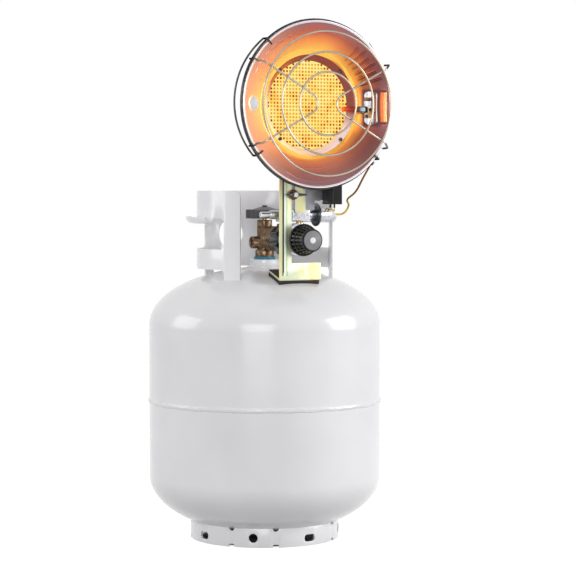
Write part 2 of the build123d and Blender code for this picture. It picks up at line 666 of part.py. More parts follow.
def make_regulator_body():
    shoulder, floor = regulator_back + regulator_cone, regulator_front - regulator_chamber_depth
    body = disc(regulator_radius, shoulder, regulator_front)
    body += cone(regulator_back_radius, regulator_radius, regulator_back, shoulder)
    body = fillet(body.edges().sort_by(Axis.Z)[0], regulator_rounding)
    body -= disc(regulator_chamber, floor, regulator_front + past)
    body -= disc(nipple_radius, regulator_back - past, regulator_back + nipple_seat)
    body = facing(body - disc(nipple_bore, regulator_back, floor + past), outlet_height)
    top = outlet_height + regulator_radius
    boss = on_train(disc(outlet_nipple_radius + outlet_boss_wall, top - outlet_boss_depth, top + joined))
    boss -= facing(disc(regulator_chamber, 0, regulator_front + past), outlet_height)
    boss &= facing(disc(2 * regulator_radius, 0, regulator_front), outlet_height)
    return body + boss - on_train(disc(nipple_bore, outlet_height, top + past))


def make_diaphragm():
    return facing(disc(regulator_radius - diaphragm_inset, regulator_front, diaphragm_front), outlet_height)


def make_regulator_cover():
    roof = neck_front - neck_wall
    cover = disc(regulator_radius, diaphragm_front, cover_front)
    cover += disc(neck_radius, diaphragm_front, neck_front)
    cover -= disc(neck_radius - neck_wall, diaphragm_front - past, roof)
    for index in range(cover_screws):
        screw = disc(cover_screw_radius, cover_front, cover_front + cover_screw_height)
        turn = Rot(0, 0, 360 / cover_screws * (index + 0.5))
        cover += turn * Pos(regulator_radius - cover_screw_inset, 0, 0) * screw
    return facing(cover - disc(shaft_radius + running_gap, roof - past, neck_front + past), outlet_height)


def make_regulator_spring():
    radii, end = (regulator_spring_radius, regulator_spring_wire), spring_seat_back - seat_gap
    return facing(coil(*radii, diaphragm_front, end, regulator_spring_turns), outlet_height)


def make_knob_shaft():
    seat_front = spring_seat_back + spring_seat_thickness
    seat = disc(spring_seat_radius, spring_seat_back, seat_front)
    shaft = disc(shaft_radius, seat_front - joined, knob_front - knob_shaft_cover)
    return facing(seat + shaft, outlet_height)


def make_control_knob():
    flange_front = knob_back + knob_flange
    start = flange_front - joined
    knob = fillet(disc(knob_flange_radius, knob_back, flange_front).edges(), knob_flange_rounding)
    knob += cone(knob_core_back, knob_core_front, start, knob_front)
    envelope = cone(knob_rib_back, knob_rib_front, start, knob_front - knob_rib_end)
    rib = Pos(knob_rib_back / 2, 0, start) * Box(knob_rib_back, knob_rib_width, knob_depth, align=FROM_BASE)
    ribs = [Rot(0, 0, 360 / knob_ribs * index) * rib for index in range(knob_ribs)]
    knob += (Part() + ribs) & envelope
    knob += disc(knob_rib_front, knob_front - knob_face, knob_front)
    knob -= disc(neck_radius + knob_recess_margin, knob_back - past, knob_back + knob_recess)
    return facing(knob - disc(shaft_radius, knob_back - past, knob_front - knob_shaft_cover), outlet_height)


def make_knob_cap():
    face = knob_front + knob_cap_height
    cap = disc(knob_cap_radius, knob_front, face)
    cap = fillet(cap.edges().sort_by(Axis.Z)[-1], knob_cap_rounding)
    return facing(cap + disc(knob_dot_radius, knob_front, face + knob_dot_height), outlet_height)


# ---------------------------------------------------------------- safety valve and mixing tube
def on_valve(shape):
    """Points a shape built about Z along the safety valve's axis, to +X."""
    return sideways(shape, safety_height, train_forward)


def make_outlet_nipple():
    bottom = outlet_height + regulator_radius + joined
    return on_train(tube(outlet_nipple_radius, outlet_nipple_bore, bottom, safety_height - safety_half))


def make_safety_valve():
    back, front = train_forward - safety_half, train_forward + safety_half
    body = block((safety_left, safety_right), (back, front), (safety_height - safety_half, safety_top))
    body = fillet(body.edges(), safety_rounding)
    body += on_valve(disc(safety_barrel_radius, safety_right - joined, safety_barrel_end))
    body += on_valve(disc(safety_neck_radius, safety_neck_end, safety_left + joined))
    lug_x, lug_bottom = (train_x - lug_half, train_x + lug_half), safety_height - lug_drop
    lug_back = train_forward + tube_radius + free_gap
    body += block(lug_x, (front - joined, channel_back), (lug_bottom, safety_top))
    body += block(lug_x, (lug_back, channel_back), (lug_bottom, safety_top + lug_rise))
    neck = safety_neck_end
    return body - [
        on_valve(disc(button_pin_radius + running_gap, neck - past, neck + button_room)),
        on_valve(disc(barrel_bore, safety_right - barrel_bore_depth, safety_barrel_end + past)),
        on_train(disc(gas_bore, safety_height - safety_half - past, safety_top + past)),
        on_train(disc(jet_tip_radius, safety_top - jet_thread, safety_top + past)),
    ]


def make_button_sleeve():
    return on_valve(tube(sleeve_radius, button_radius + running_gap, sleeve_end, safety_neck_end))


def make_safety_button():
    button = disc(button_radius, sleeve_end - button_proud, button_inner)
    button = fillet(button.edges().sort_by(Axis.Z)[0], button_rounding)
    return on_valve(button + disc(button_pin_radius, button_inner - joined, button_inner + button_pin_length))


def make_button_spring():
    spring = coil(
        button_spring_radius, button_spring_wire, button_inner, safety_neck_end, button_spring_turns
    )
    return on_valve(spring)


def make_valve_clamp():
    back = safety_right + clamp_along
    return on_valve(tube(clamp_radius, safety_barrel_radius, back, back + clamp_thickness))


def make_thermocouple_nut():
    end = safety_barrel_end + probe_nut_length
    nut = hexagon(probe_nut_radius, safety_barrel_end, end - probe_nut_taper)
    nut += cone(probe_nut_shoulder, probe_nut_nose, end - probe_nut_taper, end)
    nut += disc(probe_nut_thread, safety_barrel_end - probe_nut_thread_length, safety_barrel_end)
    return on_valve(nut - disc(lead_radius + seat_gap, end - lead_seat, end + past))


def make_gas_jet():
    tip = safety_top + jet_height
    jet = hexagon(jet_radius, safety_top, safety_top + jet_hex)
    jet += disc(jet_tip_radius, safety_top - jet_thread, tip - jet_nose)
    jet += cone(jet_tip_radius, jet_nose_radius, tip - jet_nose, tip)
    return on_train(jet - disc(jet_bore, safety_top - jet_thread - past, tip + past))


def make_mixing_tube():
    bottom, top = safety_top + tube_rise, head_height - box_bore + tube_radius
    pipe = tube(tube_radius, tube_radius - tube_wall, bottom, top)
    pipe += tube(tube_radius, jet_tip_radius + seat_gap, bottom - tube_foot, bottom)
    drill = Rot(90, 0, 0) * Cylinder(air_hole_radius, 3 * tube_radius)
    for index in range(air_holes // 2):
        pipe -= Pos(0, 0, safety_top + air_hole_rise) * Rot(0, 0, 360 / air_holes * index) * drill
    return on_train(pipe) - on_head(disc(box_bore, 0, 2 * box_front))


# ---------------------------------------------------------------- burner head
def on_head(shape):
    """Places a shape built about Z, with Z forward, on the head's axis."""
    return facing(shape, head_height)


def make_burner_box():
    box = disc(box_radius, box_back, box_front) - disc(box_bore, box_back + box_wall, box_front + past)
    box = fillet(box.edges().sort_by(Axis.Z)[0], box_rounding)
    box += tube(box_bore + joined, plaque_radius - gasket_width, ledge_front - ledge_thickness, ledge_front)
    tube_bottom, tube_top = head_height - box_radius - tube_radius, head_height - box_bore + tube_radius
    return on_head(box) - on_train(disc(tube_radius, tube_bottom, tube_top))


def make_gasket():
    front = ledge_front + gasket_thickness
    return on_head(tube(plaque_radius, plaque_radius - gasket_width, ledge_front, front))


def make_plaque():
    return on_head(disc(plaque_radius, plaque_front - plaque_thickness, plaque_front))


bezel_window, bezel_outer = plaque_radius - bezel_inset, plaque_radius + bezel_rise
bezel_throat, bezel_front = plaque_front + bezel_lip, bowl_front + bezel_sheet
screw_circle = plaque_radius + bezel_screw_out


def bezel_screw_spots():
    """Where the bezel screws go."""
    turns = [360 / bezel_screws * (index + 0.5) for index in range(bezel_screws)]
    return [Rot(0, 0, turn) * Pos(screw_circle, 0, 0) for turn in turns]


def make_bezel():
    flange = bezel_outer + bezel_lap
    bezel = turned(
        (bezel_window, plaque_front), (plaque_radius, plaque_front), (bezel_outer + bezel_wall, bowl_front),
        (flange, bowl_front), (flange, bezel_front), (bezel_outer, bezel_front), (bezel_window, bezel_throat),
    )
    for spot in bezel_screw_spots():
        bezel -= spot * disc(bezel_screw_radius, plaque_front - past, bezel_front + past)
    return on_head(bezel)


def make_bezel_screws():
    slope = (bezel_front - bezel_throat) / (bezel_outer - bezel_window)
    seat = bezel_throat + slope * (screw_circle + bezel_screw_head - bezel_window)
    shoulder = seat + bezel_screw_edge
    screw = disc(bezel_screw_radius, ledge_front, seat + joined) + disc(bezel_screw_head, seat, shoulder)
    screw += cone(bezel_screw_head, bezel_screw_top, shoulder, shoulder + bezel_screw_crown)
    return on_head(Part() + [spot * screw for spot in bezel_screw_spots()])


def make_reflector():
    normal = sheet * sqrt(1 + bowl_slope ** 2)
    rim_front = rim_forward + rim_lip
    bowl = turned(
        (bowl_inner, bowl_front), (bowl_crease, bowl_front), (bowl_rim, rim_forward),
        (bowl_rim + rim_lip / 3, rim_front), (rim_radius - rim_lip / 2, rim_front),
        (rim_radius, rim_front - rim_lip / 2), (rim_radius, rim_back), (rim_radius - sheet, rim_back),
        (rim_radius - sheet, rim_forward + (rim_width - sheet) * bowl_slope - normal),
        (bowl_crease + (normal - sheet) / bowl_slope, box_front), (bowl_inner, box_front),
    )
    eye = Pos(-bowl_crease - eye_hole_along, 0, 0) * disc(eye_hole_radius, box_front - past, rim_forward)
    outline = RectangleRounded(window_width, window_high - window_low, window_rounding)
    middle = ((window_inner + window_outer) / 2, (window_low + window_high) / 2)
    return on_head(bowl - eye - Pos(*middle, box_front - past) * extrude(outline, rim_forward - box_front))


# ---------------------------------------------------------------- thermocouple
def head_block(x, forward, up):
    """A box given by its limits about the head's centre."""
    return block(x, forward, [head_height + limit for limit in up])


def make_thermocouple_bracket():
    spread = (strap_low, strap_high)
    inner_back, outer_back = bowl_front + strap_inner_lift, bowl_front + strap_outer_lift
    outer_front = outer_back + strap_sheet
    tab_span = (-probe_drop - strap_tab_half, -probe_drop + strap_tab_half)
    bracket = head_block((strap_inner, strap_fold), (inner_back, inner_back + strap_sheet), spread)
    bracket += head_block((strap_fold, strap_outer), (outer_back, outer_front), spread)
    bracket += head_block((strap_fold, strap_fold + strap_sheet), (inner_back, outer_front), spread)
    bracket += head_block(
        (strap_inner, strap_inner + strap_sheet), (inner_back, probe_forward + strap_tab_half), tab_span
    )
    bracket -= head_block(
        (strap_inner + strap_slot_start, strap_fold + 2 * strap_sheet), (0, outer_back),
        (-probe_drop - strap_slot_half, -probe_drop + strap_slot_half),
    )
    bore = disc(probe_stub_radius + seat_gap, 0, 2 * strap_outer)
    return bracket - sideways(bore, head_height - probe_drop, probe_forward)


fitting_end = strap_inner - 2 * seat_gap


def make_thermocouple_probe():
    rod_end = fitting_end - probe_fitting
    probe = disc(probe_radius, rod_end - probe_rod, rod_end)
    probe = fillet(probe.edges().sort_by(Axis.Z)[0], probe_rounding)
    probe += hexagon(probe_fitting_radius, rod_end, fitting_end)
    probe += disc(probe_stub_radius, fitting_end, fitting_end + probe_stub)
    return sideways(probe, head_height - probe_drop, probe_forward)


# the lead's route from the safety valve to the probe: (x, forward of the gas line, above the safety valve)
lead_route = [
    (safety_barrel_end + probe_nut_length - lead_seat, 0.0, 0.0),
    (72.0, 0.0, 0.0),
    (78.0, 4.5, 12.0),
    (67.5, 14.0, 19.5),
    (73.5, 30.0, 29.0),
    (78.0, 42.0, 49.0),
    (82.6, 55.6, 67.3),
    (91.4, 50.0, 87.8),
    (97.5, 42.5, 111.0),
    (96.0, 39.5, 128.0),
    (88.5, 48.6, 135.2),
    (fitting_end + probe_stub + lead_end_gap, probe_forward - train_forward, head_lift - probe_drop),
]


def bend_radii(points):
    """The largest arc that each corner of a route has room for."""
    radii = []
    for before, here, after in zip(points, points[1:], points[2:]):
        arriving, leaving = here - before, after - here
        turn = radians(arriving.get_angle(leaving))
        radii.append(0.45 * min(arriving.length, leaving.length) / tan(turn / 2))
    return radii


def lead_tube(radius):
    """The lead, or a wider tube along its route."""
    points = [Vector(x, -train_forward - forward, safety_height + up) for x, forward, up in lead_route]
    return bent(points, radius, bend_radii(points))


def make_lead_clip():
    place = Rot(0, 0, clip_angle) * Pos(base_ring_radius + clip_out, 0, rim_back - clip_drop)
    return on_head(place * Box(clip_length, clip_width, clip_height)) - lead_tube(lead_radius + seat_gap)


# ---------------------------------------------------------------- guard
def head_point(angle, radius, forward):
    """A point about the head's axis: angle anticlockwise from +X as seen from the front."""
    return Vector(radius * cos(radians(angle)), radius * sin(radians(angle)), forward)


def make_guard_ring(radius, forward):
    return on_head(Pos(0, 0, forward) * Torus(radius, wire))


def make_hairpin(angles):
    arm_forward = guard_forward - 2 * wire
    profile = [
        (guard_radii["outer"] + arm_overhang, arm_forward), (hook_radius - arm_lean, arm_forward - arm_drop),
        (hook_radius, rim_forward - hook_drop),
    ]
    first_arm = [head_point(angles[0], radius, forward) for radius, forward in reversed(profile)]
    second_arm = [head_point(angles[1], radius, forward) for radius, forward in profile]
    points = first_arm + [head_point(0, 0, arm_forward)] + second_arm
    return on_head(bent(points, wire, [arm_bend, arm_bend, hairpin_bend, arm_bend, arm_bend]))


def make_side_arc(angles):
    start, end = angles
    places = ((start, side_hook_drop), ((start + end) / 2, side_arc_bulge), (end, side_hook_drop))
    arc_points = [head_point(angle, hook_radius, rim_forward - back) for angle, back in places]
    side_wire = swept(ThreePointArc(*arc_points), wire)
    bottom, top = rim_forward - side_hook_drop, rim_forward + rim_lip + wire + side_hook_gap
    route = [(hook_radius, bottom), (hook_radius, top), (rim_radius - side_hook_reach, top)]
    for angle in angles:
        side_wire += bent([head_point(angle, *place) for place in route], wire, [side_hook_bend])
    return side_wire


# ---------------------------------------------------------------- head channel and switch
def make_head_channel():
    depth = (channel_back, channel_face)
    bottom, top = safety_height + channel_rise, head_height - box_radius + channel_tuck
    ear_bottom = safety_height + ear_rise
    flange_bottom = safety_height + channel_flange_rise
    channel = block((channel_left, channel_right), depth, (bottom, top))
    channel -= block(
        (channel_step_x, channel_right + past), (channel_back - past, channel_face + past),
        (bottom - past, safety_height + channel_step_rise),
    )
    channel += block((channel_right - joined, channel_ear), depth, (ear_bottom, ear_bottom + ear_height))
    for left in (channel_left, channel_right - plate_sheet):
        channel += block(
            (left, left + plate_sheet), (channel_back - channel_flange_depth, channel_back + joined),
            (flange_bottom, flange_bottom + channel_flange_height),
        )
    on_screw = Pos(screw_x, 0, 0)
    channel += facing(on_screw * disc(screw_nut_radius, channel_back - screw_nut, channel_back), screw_height)
    channel -= facing(on_screw * disc(screw_radius + running_gap, 0, plate_front), screw_height)
    return channel - on_head(disc(box_radius, 0, 2 * plate_front))


switch_bottom = safety_height + ear_rise - switch_drop
switch_middle = switch_left + switch_width / 2


def make_tilt_switch():
    box = block(
        (switch_left, switch_left + switch_width), (channel_face, channel_face + switch_depth),
        (switch_bottom, switch_bottom + switch_height),
    )
    box = fillet(box.edges(), switch_rounding)
    for forward in terminal_forward:
        terminal = disc(terminal_radius, switch_bottom - terminal_drop, switch_bottom + past)
        box += Pos(switch_middle, -channel_face - forward, 0) * terminal
    return box


def make_switch_leads():
    leads = []
    bottom = switch_bottom - terminal_drop
    for forward, drop, end_x in zip(terminal_forward, switch_lead_drops, switch_lead_ends):
        start = Vector(switch_middle, -channel_face - forward, bottom)
        bend = Vector(end_x, -train_forward - switch_lead_forward, bottom - drop + switch_lead_rise)
        end = Vector(end_x, -train_forward, safety_height + safety_barrel_radius - switch_lead_sink)
        points = [start, start - Vector(0, 0, drop), bend, end]
        leads.append(bent(points, switch_lead_radius, switch_lead_bends))
    barrel = on_valve(disc(safety_barrel_radius, safety_right, safety_barrel_end + past))
    return Part() + [lead - barrel for lead in leads]


# ---------------------------------------------------------------- support bracket
def slanted(shape):
    """Tips a shape from level to the slope of the bracket's base, about its front bottom edge."""
    return Pos(0, -plate_front, base_bottom) * Rot(base_slope, 0, 0) * shape


def make_support_bracket():
    depth = (plate_front - plate_sheet, plate_front)
    tine_bottom, slot_top = safety_height + tine_rise, bracket_top - bridge_height
    plate = block((-bracket_half, slot_left), depth, (base_bottom, bracket_top))
    plate += block((slot_right, tine_right), depth, (tine_bottom, bracket_top))
    plate += block((slot_left - joined, slot_right + joined), depth, (slot_top, bracket_top))
    plate += block((-bracket_half, bracket_half), depth, (base_bottom, base_bottom + base_height))
    corners = [
        edge for edge in plate.edges().filter_by(Axis.Y)
        if edge.center().Z > tine_bottom - past and edge.center().X > past - bracket_half
        and abs(edge.center().Z - slot_top) > past
    ]
    plate = fillet(corners, bracket_corner)
    base = Box(2 * bracket_half, base_depth, plate_sheet, align=(Align.CENTER, Align.MIN, Align.MIN))
    below = Box(3 * bracket_half, base_depth, base_height, align=FROM_TOP)
    plate = plate + slanted(base) - slanted(below)
    ends = (base_bottom + groove_foot, bracket_top - groove_head)
    groove = Pos(groove_x, -plate_front, 0) * disc(groove_radius, *ends)
    for end in ends:
        groove += Pos(groove_x, -plate_front, end) * Sphere(groove_radius)
    proud = (plate_front - joined, plate_front + groove_proud)
    return plate + (groove & block((-bracket_half, slot_left), proud, (0, bracket_top)))


def make_rubber_foot():
    width = 2 * (bracket_half - pad_inset)
    back, top = base_depth + pad_skin, plate_sheet + pad_skin
    pad = Pos(0, (pad_inset + back) / 2, 0) * Box(width, back - pad_inset, pad_thickness, align=FROM_TOP)
    skin = Box(width, back - pad_front, top + joined, align=FROM_BASE)
    pad += Pos(0, (pad_front + back) / 2, -joined) * skin
    base = Box(3 * bracket_half, base_depth, plate_sheet, align=(Align.CENTER, Align.MIN, Align.MIN))
    return slanted(pad - base) - Pos(0, 0, free_gap) * upper_form


def make_wing_screw():
    back = plate_front + free_gap
    flange_front = back + screw_flange
    screw = disc(screw_radius, channel_back - screw_nut - past, back + joined)
    screw += disc(screw_flange_radius, back, flange_front)
    screw += disc(screw_boss_radius, back, flange_front + screw_boss)
    screw += Pos(0, 0, flange_front - joined) * extrude(SlotOverall(wing_span, wing_thickness), wing_height)
    return facing(Pos(screw_x, 0, 0) * screw, screw_height)


# ---------------------------------------------------------------- write the sub-parts
write("tank_upper_shell", make_upper_shell())
write("tank_lower_shell", make_lower_shell())
write("weld_band", make_weld_band())
write("foot_ring", make_foot_ring())
write("collar", make_collar())
write("neck_boss", make_neck_boss())
write("thread_seal", make_thread_seal())
write("tank_valve_body", make_valve_body())
write("valve_bonnet", make_bonnet())
write("valve_stem", make_stem())
write("valve_handwheel", make_handwheel())
write("handwheel_screw", make_handwheel_screw())
write("relief_valve", make_relief_valve())
write("bleeder_screw", make_bleeder_screw())
write("dip_tube", make_dip_tube())
write("opd_housing", make_opd_housing())
write("float_arm", make_float_arm())
write("tank_float", make_tank_float())

write("inlet_nipple", make_inlet_nipple())
write("nipple_seal", make_nipple_seal())
write("coupling_nut", make_coupling_nut())
write("regulator_body", make_regulator_body())
write("diaphragm", make_diaphragm())
write("regulator_cover", make_regulator_cover())
write("regulator_spring", make_regulator_spring())
write("knob_shaft", make_knob_shaft())
write("control_knob", make_control_knob())
write("knob_cap", make_knob_cap())
write("outlet_nipple", make_outlet_nipple())
write("safety_valve_body", make_safety_valve())
write("button_sleeve", make_button_sleeve())
write("safety_button", make_safety_button())
write("button_spring", make_button_spring())
write("valve_clamp", make_valve_clamp())
write("thermocouple_nut", make_thermocouple_nut())
write("gas_jet", make_gas_jet())
write("mixing_tube", make_mixing_tube())

write("burner_box", make_burner_box())
write("plaque_gasket", make_gasket())
write("ceramic_plaque", make_plaque())
write("burner_bezel", make_bezel())
write("bezel_screws", make_bezel_screws())
write("reflector", make_reflector())
write("thermocouple_bracket", make_thermocouple_bracket())
write("thermocouple_probe", make_thermocouple_probe())
write("thermocouple_lead", lead_tube(lead_radius))
write("lead_clip", make_lead_clip())

for ring_name, ring_radius in guard_radii.items():
    write(f"guard_{ring_name}_ring", make_guard_ring(ring_radius, guard_forward))
for side_name, side_angles in hairpin_angles.items():
    write(f"guard_hairpin_{side_name}", make_hairpin(side_angles))
write("guard_base_ring", make_guard_ring(base_ring_radius, rim_forward - base_ring_drop))
write("guard_side_arcs", Part() + [on_head(make_side_arc(angles)) for angles in side_arcs.values()])

write("head_channel", make_head_channel())
write("tilt_switch", make_tilt_switch())
write("switch_leads", make_switch_leads())
write("support_bracket", make_support_bracket())
write("rubber_foot", make_rubber_foot())
write("wing_screw", make_wing_screw())
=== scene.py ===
"""Looks of a tank-top propane heater that stands on its white gas cylinder."""
import json
from math import cos, hypot, pi, radians, sin, tan

import bmesh
import bpy
from mathutils import Matrix, Vector, noise

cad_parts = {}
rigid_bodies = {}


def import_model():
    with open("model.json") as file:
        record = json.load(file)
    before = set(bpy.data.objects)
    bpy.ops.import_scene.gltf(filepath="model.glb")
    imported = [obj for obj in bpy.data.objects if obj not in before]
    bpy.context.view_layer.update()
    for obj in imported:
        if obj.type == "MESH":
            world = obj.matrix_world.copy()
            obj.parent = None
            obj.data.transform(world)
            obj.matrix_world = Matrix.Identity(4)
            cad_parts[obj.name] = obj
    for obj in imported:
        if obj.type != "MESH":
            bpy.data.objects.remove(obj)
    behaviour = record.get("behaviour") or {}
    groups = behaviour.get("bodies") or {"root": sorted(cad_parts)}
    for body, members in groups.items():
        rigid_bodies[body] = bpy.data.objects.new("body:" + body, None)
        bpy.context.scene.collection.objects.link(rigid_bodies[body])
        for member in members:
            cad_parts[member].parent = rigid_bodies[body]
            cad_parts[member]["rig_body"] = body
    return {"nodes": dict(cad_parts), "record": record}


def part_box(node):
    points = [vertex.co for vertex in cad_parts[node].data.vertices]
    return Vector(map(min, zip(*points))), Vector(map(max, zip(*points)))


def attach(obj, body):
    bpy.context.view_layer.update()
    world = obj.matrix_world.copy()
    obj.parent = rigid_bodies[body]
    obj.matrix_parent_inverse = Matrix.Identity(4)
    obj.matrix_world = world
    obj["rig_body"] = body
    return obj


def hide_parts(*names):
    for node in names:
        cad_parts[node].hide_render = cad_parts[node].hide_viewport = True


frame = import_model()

MM = 0.001
scene = bpy.context.scene
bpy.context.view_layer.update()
slot_of = {part["node"]: part["material_slot"] for part in frame["record"]["subparts"]}


# ------------------------------------------------------------------ places, from the frame
def middle(node):
    """The centre of a node's box."""
    low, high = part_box(node)
    return (low + high) / 2


def turned_forward(height):
    """Takes mm about a local Z axis to the frame, with that axis pointing forward at a height."""
    return Matrix.Translation((0, 0, height)) @ Matrix.Rotation(radians(90), 4, "X") @ Matrix.Scale(MM, 4)


HEAD = turned_forward(middle("ceramic_plaque").z)
OUTLET = turned_forward(middle("control_knob").z)
UPRIGHT = Matrix.Scale(MM, 4)


# ------------------------------------------------------------------ camera
camera_place = Vector((-1.240, -2.509, 0.470))
camera_aim = Vector((0.028, -0.0139, 0.3345))
camera_data = bpy.data.cameras.new("camera")
camera_data.lens = 130.4
camera_data.sensor_width = 36.0
camera = bpy.data.objects.new("camera", camera_data)
camera.location = camera_place
camera.rotation_euler = (camera_aim - camera_place).to_track_quat("-Z", "Y").to_euler()
scene.collection.objects.link(camera)
scene.camera = camera


# ------------------------------------------------------------------ material tools
noise_low, noise_high = 0.3, 0.7    # the values that a noise texture reaches


def linear(hex_code):
    """The linear RGBA of an sRGB hex colour."""
    channels = [int(hex_code[start:start + 2], 16) / 255 for start in (1, 3, 5)]
    return (*[c / 12.92 if c <= 0.04045 else ((c + 0.055) / 1.055) ** 2.4 for c in channels], 1.0)


def link(tree, source, socket):
    """Links a socket to an output, or to the first output that a node has in use."""
    if isinstance(source, bpy.types.Node):
        source = next(output for output in source.outputs if output.enabled)
    tree.links.new(source, socket)


def add(tree, kind, sockets=None, stops=(), **settings):
    """Adds a shader node. Sockets take values, hex colours, nodes or their outputs; stops are a ramp's."""
    made = tree.nodes.new("ShaderNode" + kind)
    for name, value in settings.items():
        setattr(made, name, value)
    for socket, value in (sockets or {}).items():
        if isinstance(value, (bpy.types.Node, bpy.types.NodeSocket)):
            link(tree, value, made.inputs[socket])
        else:
            made.inputs[socket].default_value = linear(value) if isinstance(value, str) else value
    if stops:
        ramp = made.color_ramp.elements
        while len(ramp) < len(stops):
            ramp.new(0.5)
        for element, (place, colour) in zip(ramp, stops):
            element.position, element.color = place, linear(colour)
    return made


def blank(name):
    """A new material without nodes, and its node tree."""
    made = bpy.data.materials.new(name)
    made.use_nodes = True
    made.node_tree.nodes.clear()
    return made, made.node_tree


def skin(tree, where, roughness, grain, relief, detail=4.0):
    """The sockets for a gloss and a relief that follow a grain; grain and relief are sizes in mm."""
    grains = add(tree, "TexNoise", {"Vector": where, "Scale": 1 / (grain * MM), "Detail": detail})
    gloss = add(tree, "MapRange", {
        "Value": grains, "From Min": noise_low, "From Max": noise_high,
        "To Min": roughness[0], "To Max": roughness[1],
    })
    bump = add(tree, "Bump", {"Height": grains, "Distance": relief * MM, "Strength": 1.0})
    return {"Roughness": gloss, "Normal": bump}


def spread(shades):
    """Ramp stops that put shades evenly over the range that a noise reaches."""
    step = (noise_high - noise_low) / (len(shades) - 1)
    return [(noise_low + index * step, shade) for index, shade in enumerate(shades)]


def finish(name, shades, patch, roughness, grain, relief, metal=0.0, **sockets):
    """A finish whose colour wanders through shades in patches and whose gloss and relief follow a grain.

    patch, grain and relief are sizes in mm.
    """
    made, tree = blank(name)
    where = add(tree, "TexCoord").outputs["Object"]
    patches = add(tree, "TexNoise", {"Vector": where, "Scale": 1 / (patch * MM), "Detail": 3.0})
    colour = add(tree, "ValToRGB", {"Fac": patches}, spread(shades))
    gloss = skin(tree, where, roughness, grain, relief)
    shader = add(tree, "BsdfPrincipled", {"Base Color": colour, "Metallic": metal, **gloss, **sockets})
    add(tree, "OutputMaterial", {"Surface": shader})
    return made


def colour_socket(made):
    """The socket that takes a finish's colour."""
    return next(node for node in made.node_tree.nodes if node.type == "BSDF_PRINCIPLED").inputs["Base Color"]


def bare_colour(made):
    """The colour that a finish has so far."""
    return colour_socket(made).links[0].from_socket


def paint(made, colour):
    """Gives a finish another colour."""
    link(made.node_tree, colour, colour_socket(made))


# ------------------------------------------------------------------ sizes that finishes and shapes share
plaque_low, plaque_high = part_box("ceramic_plaque")
plaque_face = plaque_low.y / MM
plaque_radius = (plaque_high.x - plaque_low.x) / 2 / MM
cool_start, cool_full = 51.0, 55.0      # the plaque cools between these radii
hole_pitch = 4.5
bezel_radius, bezel_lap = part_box("burner_bezel")[1].x / MM, 5.2

reflector_low, reflector_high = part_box("reflector")
rim_radius = (reflector_high.x - reflector_low.x) / 2 / MM
rim_width, bowl_cone, bowl_flat = 1.6, 34.2, 4.5
bowl_rim = rim_radius - rim_width
bowl_crease = bowl_rim - bowl_cone
bowl_inner = bowl_crease - bowl_flat
window_x, window_z, window_corner = (76.0, 90.6), (-24.5, 18.8), 5.5
bar_x, bar_z = 96.4, (-20.0, 16.0)          # the bar pressed beside the window

wire_shade_start, wire_shade_full = -84.0, -98.0      # the painted dark reflection on the guard's wires grows between these places across
strap_x, strap_z = 84.6, (-24.0, 16.0)      # the strap's inner column, and how far its tints and painted notch shade reach
cap_rim, cap_dot = 12.5, 3.95

bracket_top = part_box("support_bracket")[1].z / MM
bead_left, bead_right, bead_half = -25.9, -17.9, 64.0
bead_middle = bracket_top - 7.0 - bead_half


# ------------------------------------------------------------------ finishes
# Powder-coated steel: white and glossy, with the faint orange peel of cured powder.
powder_coat = finish(
    "white_powder_coat", ("#e9e9ec", "#f1f1f3"), 120, (0.17, 0.25), 2.2, 0.012,
    **{"Coat Weight": 0.3, "Coat Roughness": 0.12},
)
# Sand-cast and forged brass left dull: brown patches, a coarse skin and soft highlights.
cast_brass = finish(
    "forged_brass", ("#4f3f30", "#6d5843", "#867058", "#5d4c3b"), 9, (0.26, 0.4), 0.9, 0.05, metal=0.9
)
# Turned brass: yellow and brighter, with a fine grain.
turned_brass = finish(
    "turned_brass", ("#8f7038", "#bd9a52", "#a38143"), 12, (0.2, 0.36), 0.5, 0.02, metal=1.0
)
# Thread sealant: a soft blue-green plastic collar.
teal_sealant = finish("teal_sealant", ("#14586e", "#1f7f9b", "#2a6f86"), 4, (0.4, 0.6), 0.8, 0.1)
# Glass-filled nylon, moulded: dark grey, dull, with a fine stipple.
grey_nylon = finish("grey_moulded_nylon", ("#454348", "#5a585d"), 14, (0.45, 0.6), 0.6, 0.06)
# Black nylon, moulded: satin with sharp highlights along its ribs.
black_nylon = finish(
    "black_moulded_nylon", ("#040405", "#0d0d0e"), 12, (0.14, 0.24), 0.7, 0.03, **{"Specular IOR Level": 0.32}
)
# Zinc die casting, tumbled: light grey metal with a soft skin.
zinc_casting = finish(
    "zinc_die_casting", ("#a2a2a8", "#cfcfd5", "#b7b7bd"), 7, (0.2, 0.34), 0.7, 0.05, metal=1.0
)
# Aluminised steel sheet: a pale silver with a fine cloudy spangle.
aluminised = finish(
    "aluminised_steel", ("#a9abae", "#c6c8ca", "#b5b7ba"), 5, (0.3, 0.46), 0.8, 0.02, metal=1.0
)
# Plated wire seen edge on: a painted dark reflection, a near-black specular tint, keeps its outline dark.
painted_dark_edge = {"Specular Tint": "#0a0a0a"}
# Wire with a painted dark reflection: dark grey by its colour, with a bright line along its middle.
dark_painted_reflection_wire = finish(
    "dark_painted_reflection_wire", ("#33312f", "#55524e"), 25, (0.12, 0.2), 0.6, 0.01, metal=1.0, **painted_dark_edge
)
# Pressed ceramic fibre: off-white and matte.
ceramic_fibre = finish("ceramic_fibre", ("#d8d3c6", "#ece8de"), 6, (0.85, 0.95), 0.5, 0.2)
# Black-oxide steel: near black with a dull sheen.
black_oxide = finish("black_oxide_steel", ("#34323a", "#55535b"), 6, (0.22, 0.38), 0.6, 0.02, metal=0.9)
# Nickel-plated steel: a bright, even grey with sharp highlights.
nickel_steel = finish("nickel_plated_steel", ("#c4c3c6", "#e6e5e8"), 9, (0.18, 0.3), 0.6, 0.015, metal=1.0)
# Galvanised sheet: a plain mid grey, dull, with faint clouds.
plain_sheet = finish("galvanised_sheet", ("#96969b", "#acacb1"), 9, (0.5, 0.64), 0.8, 0.02, metal=0.8)
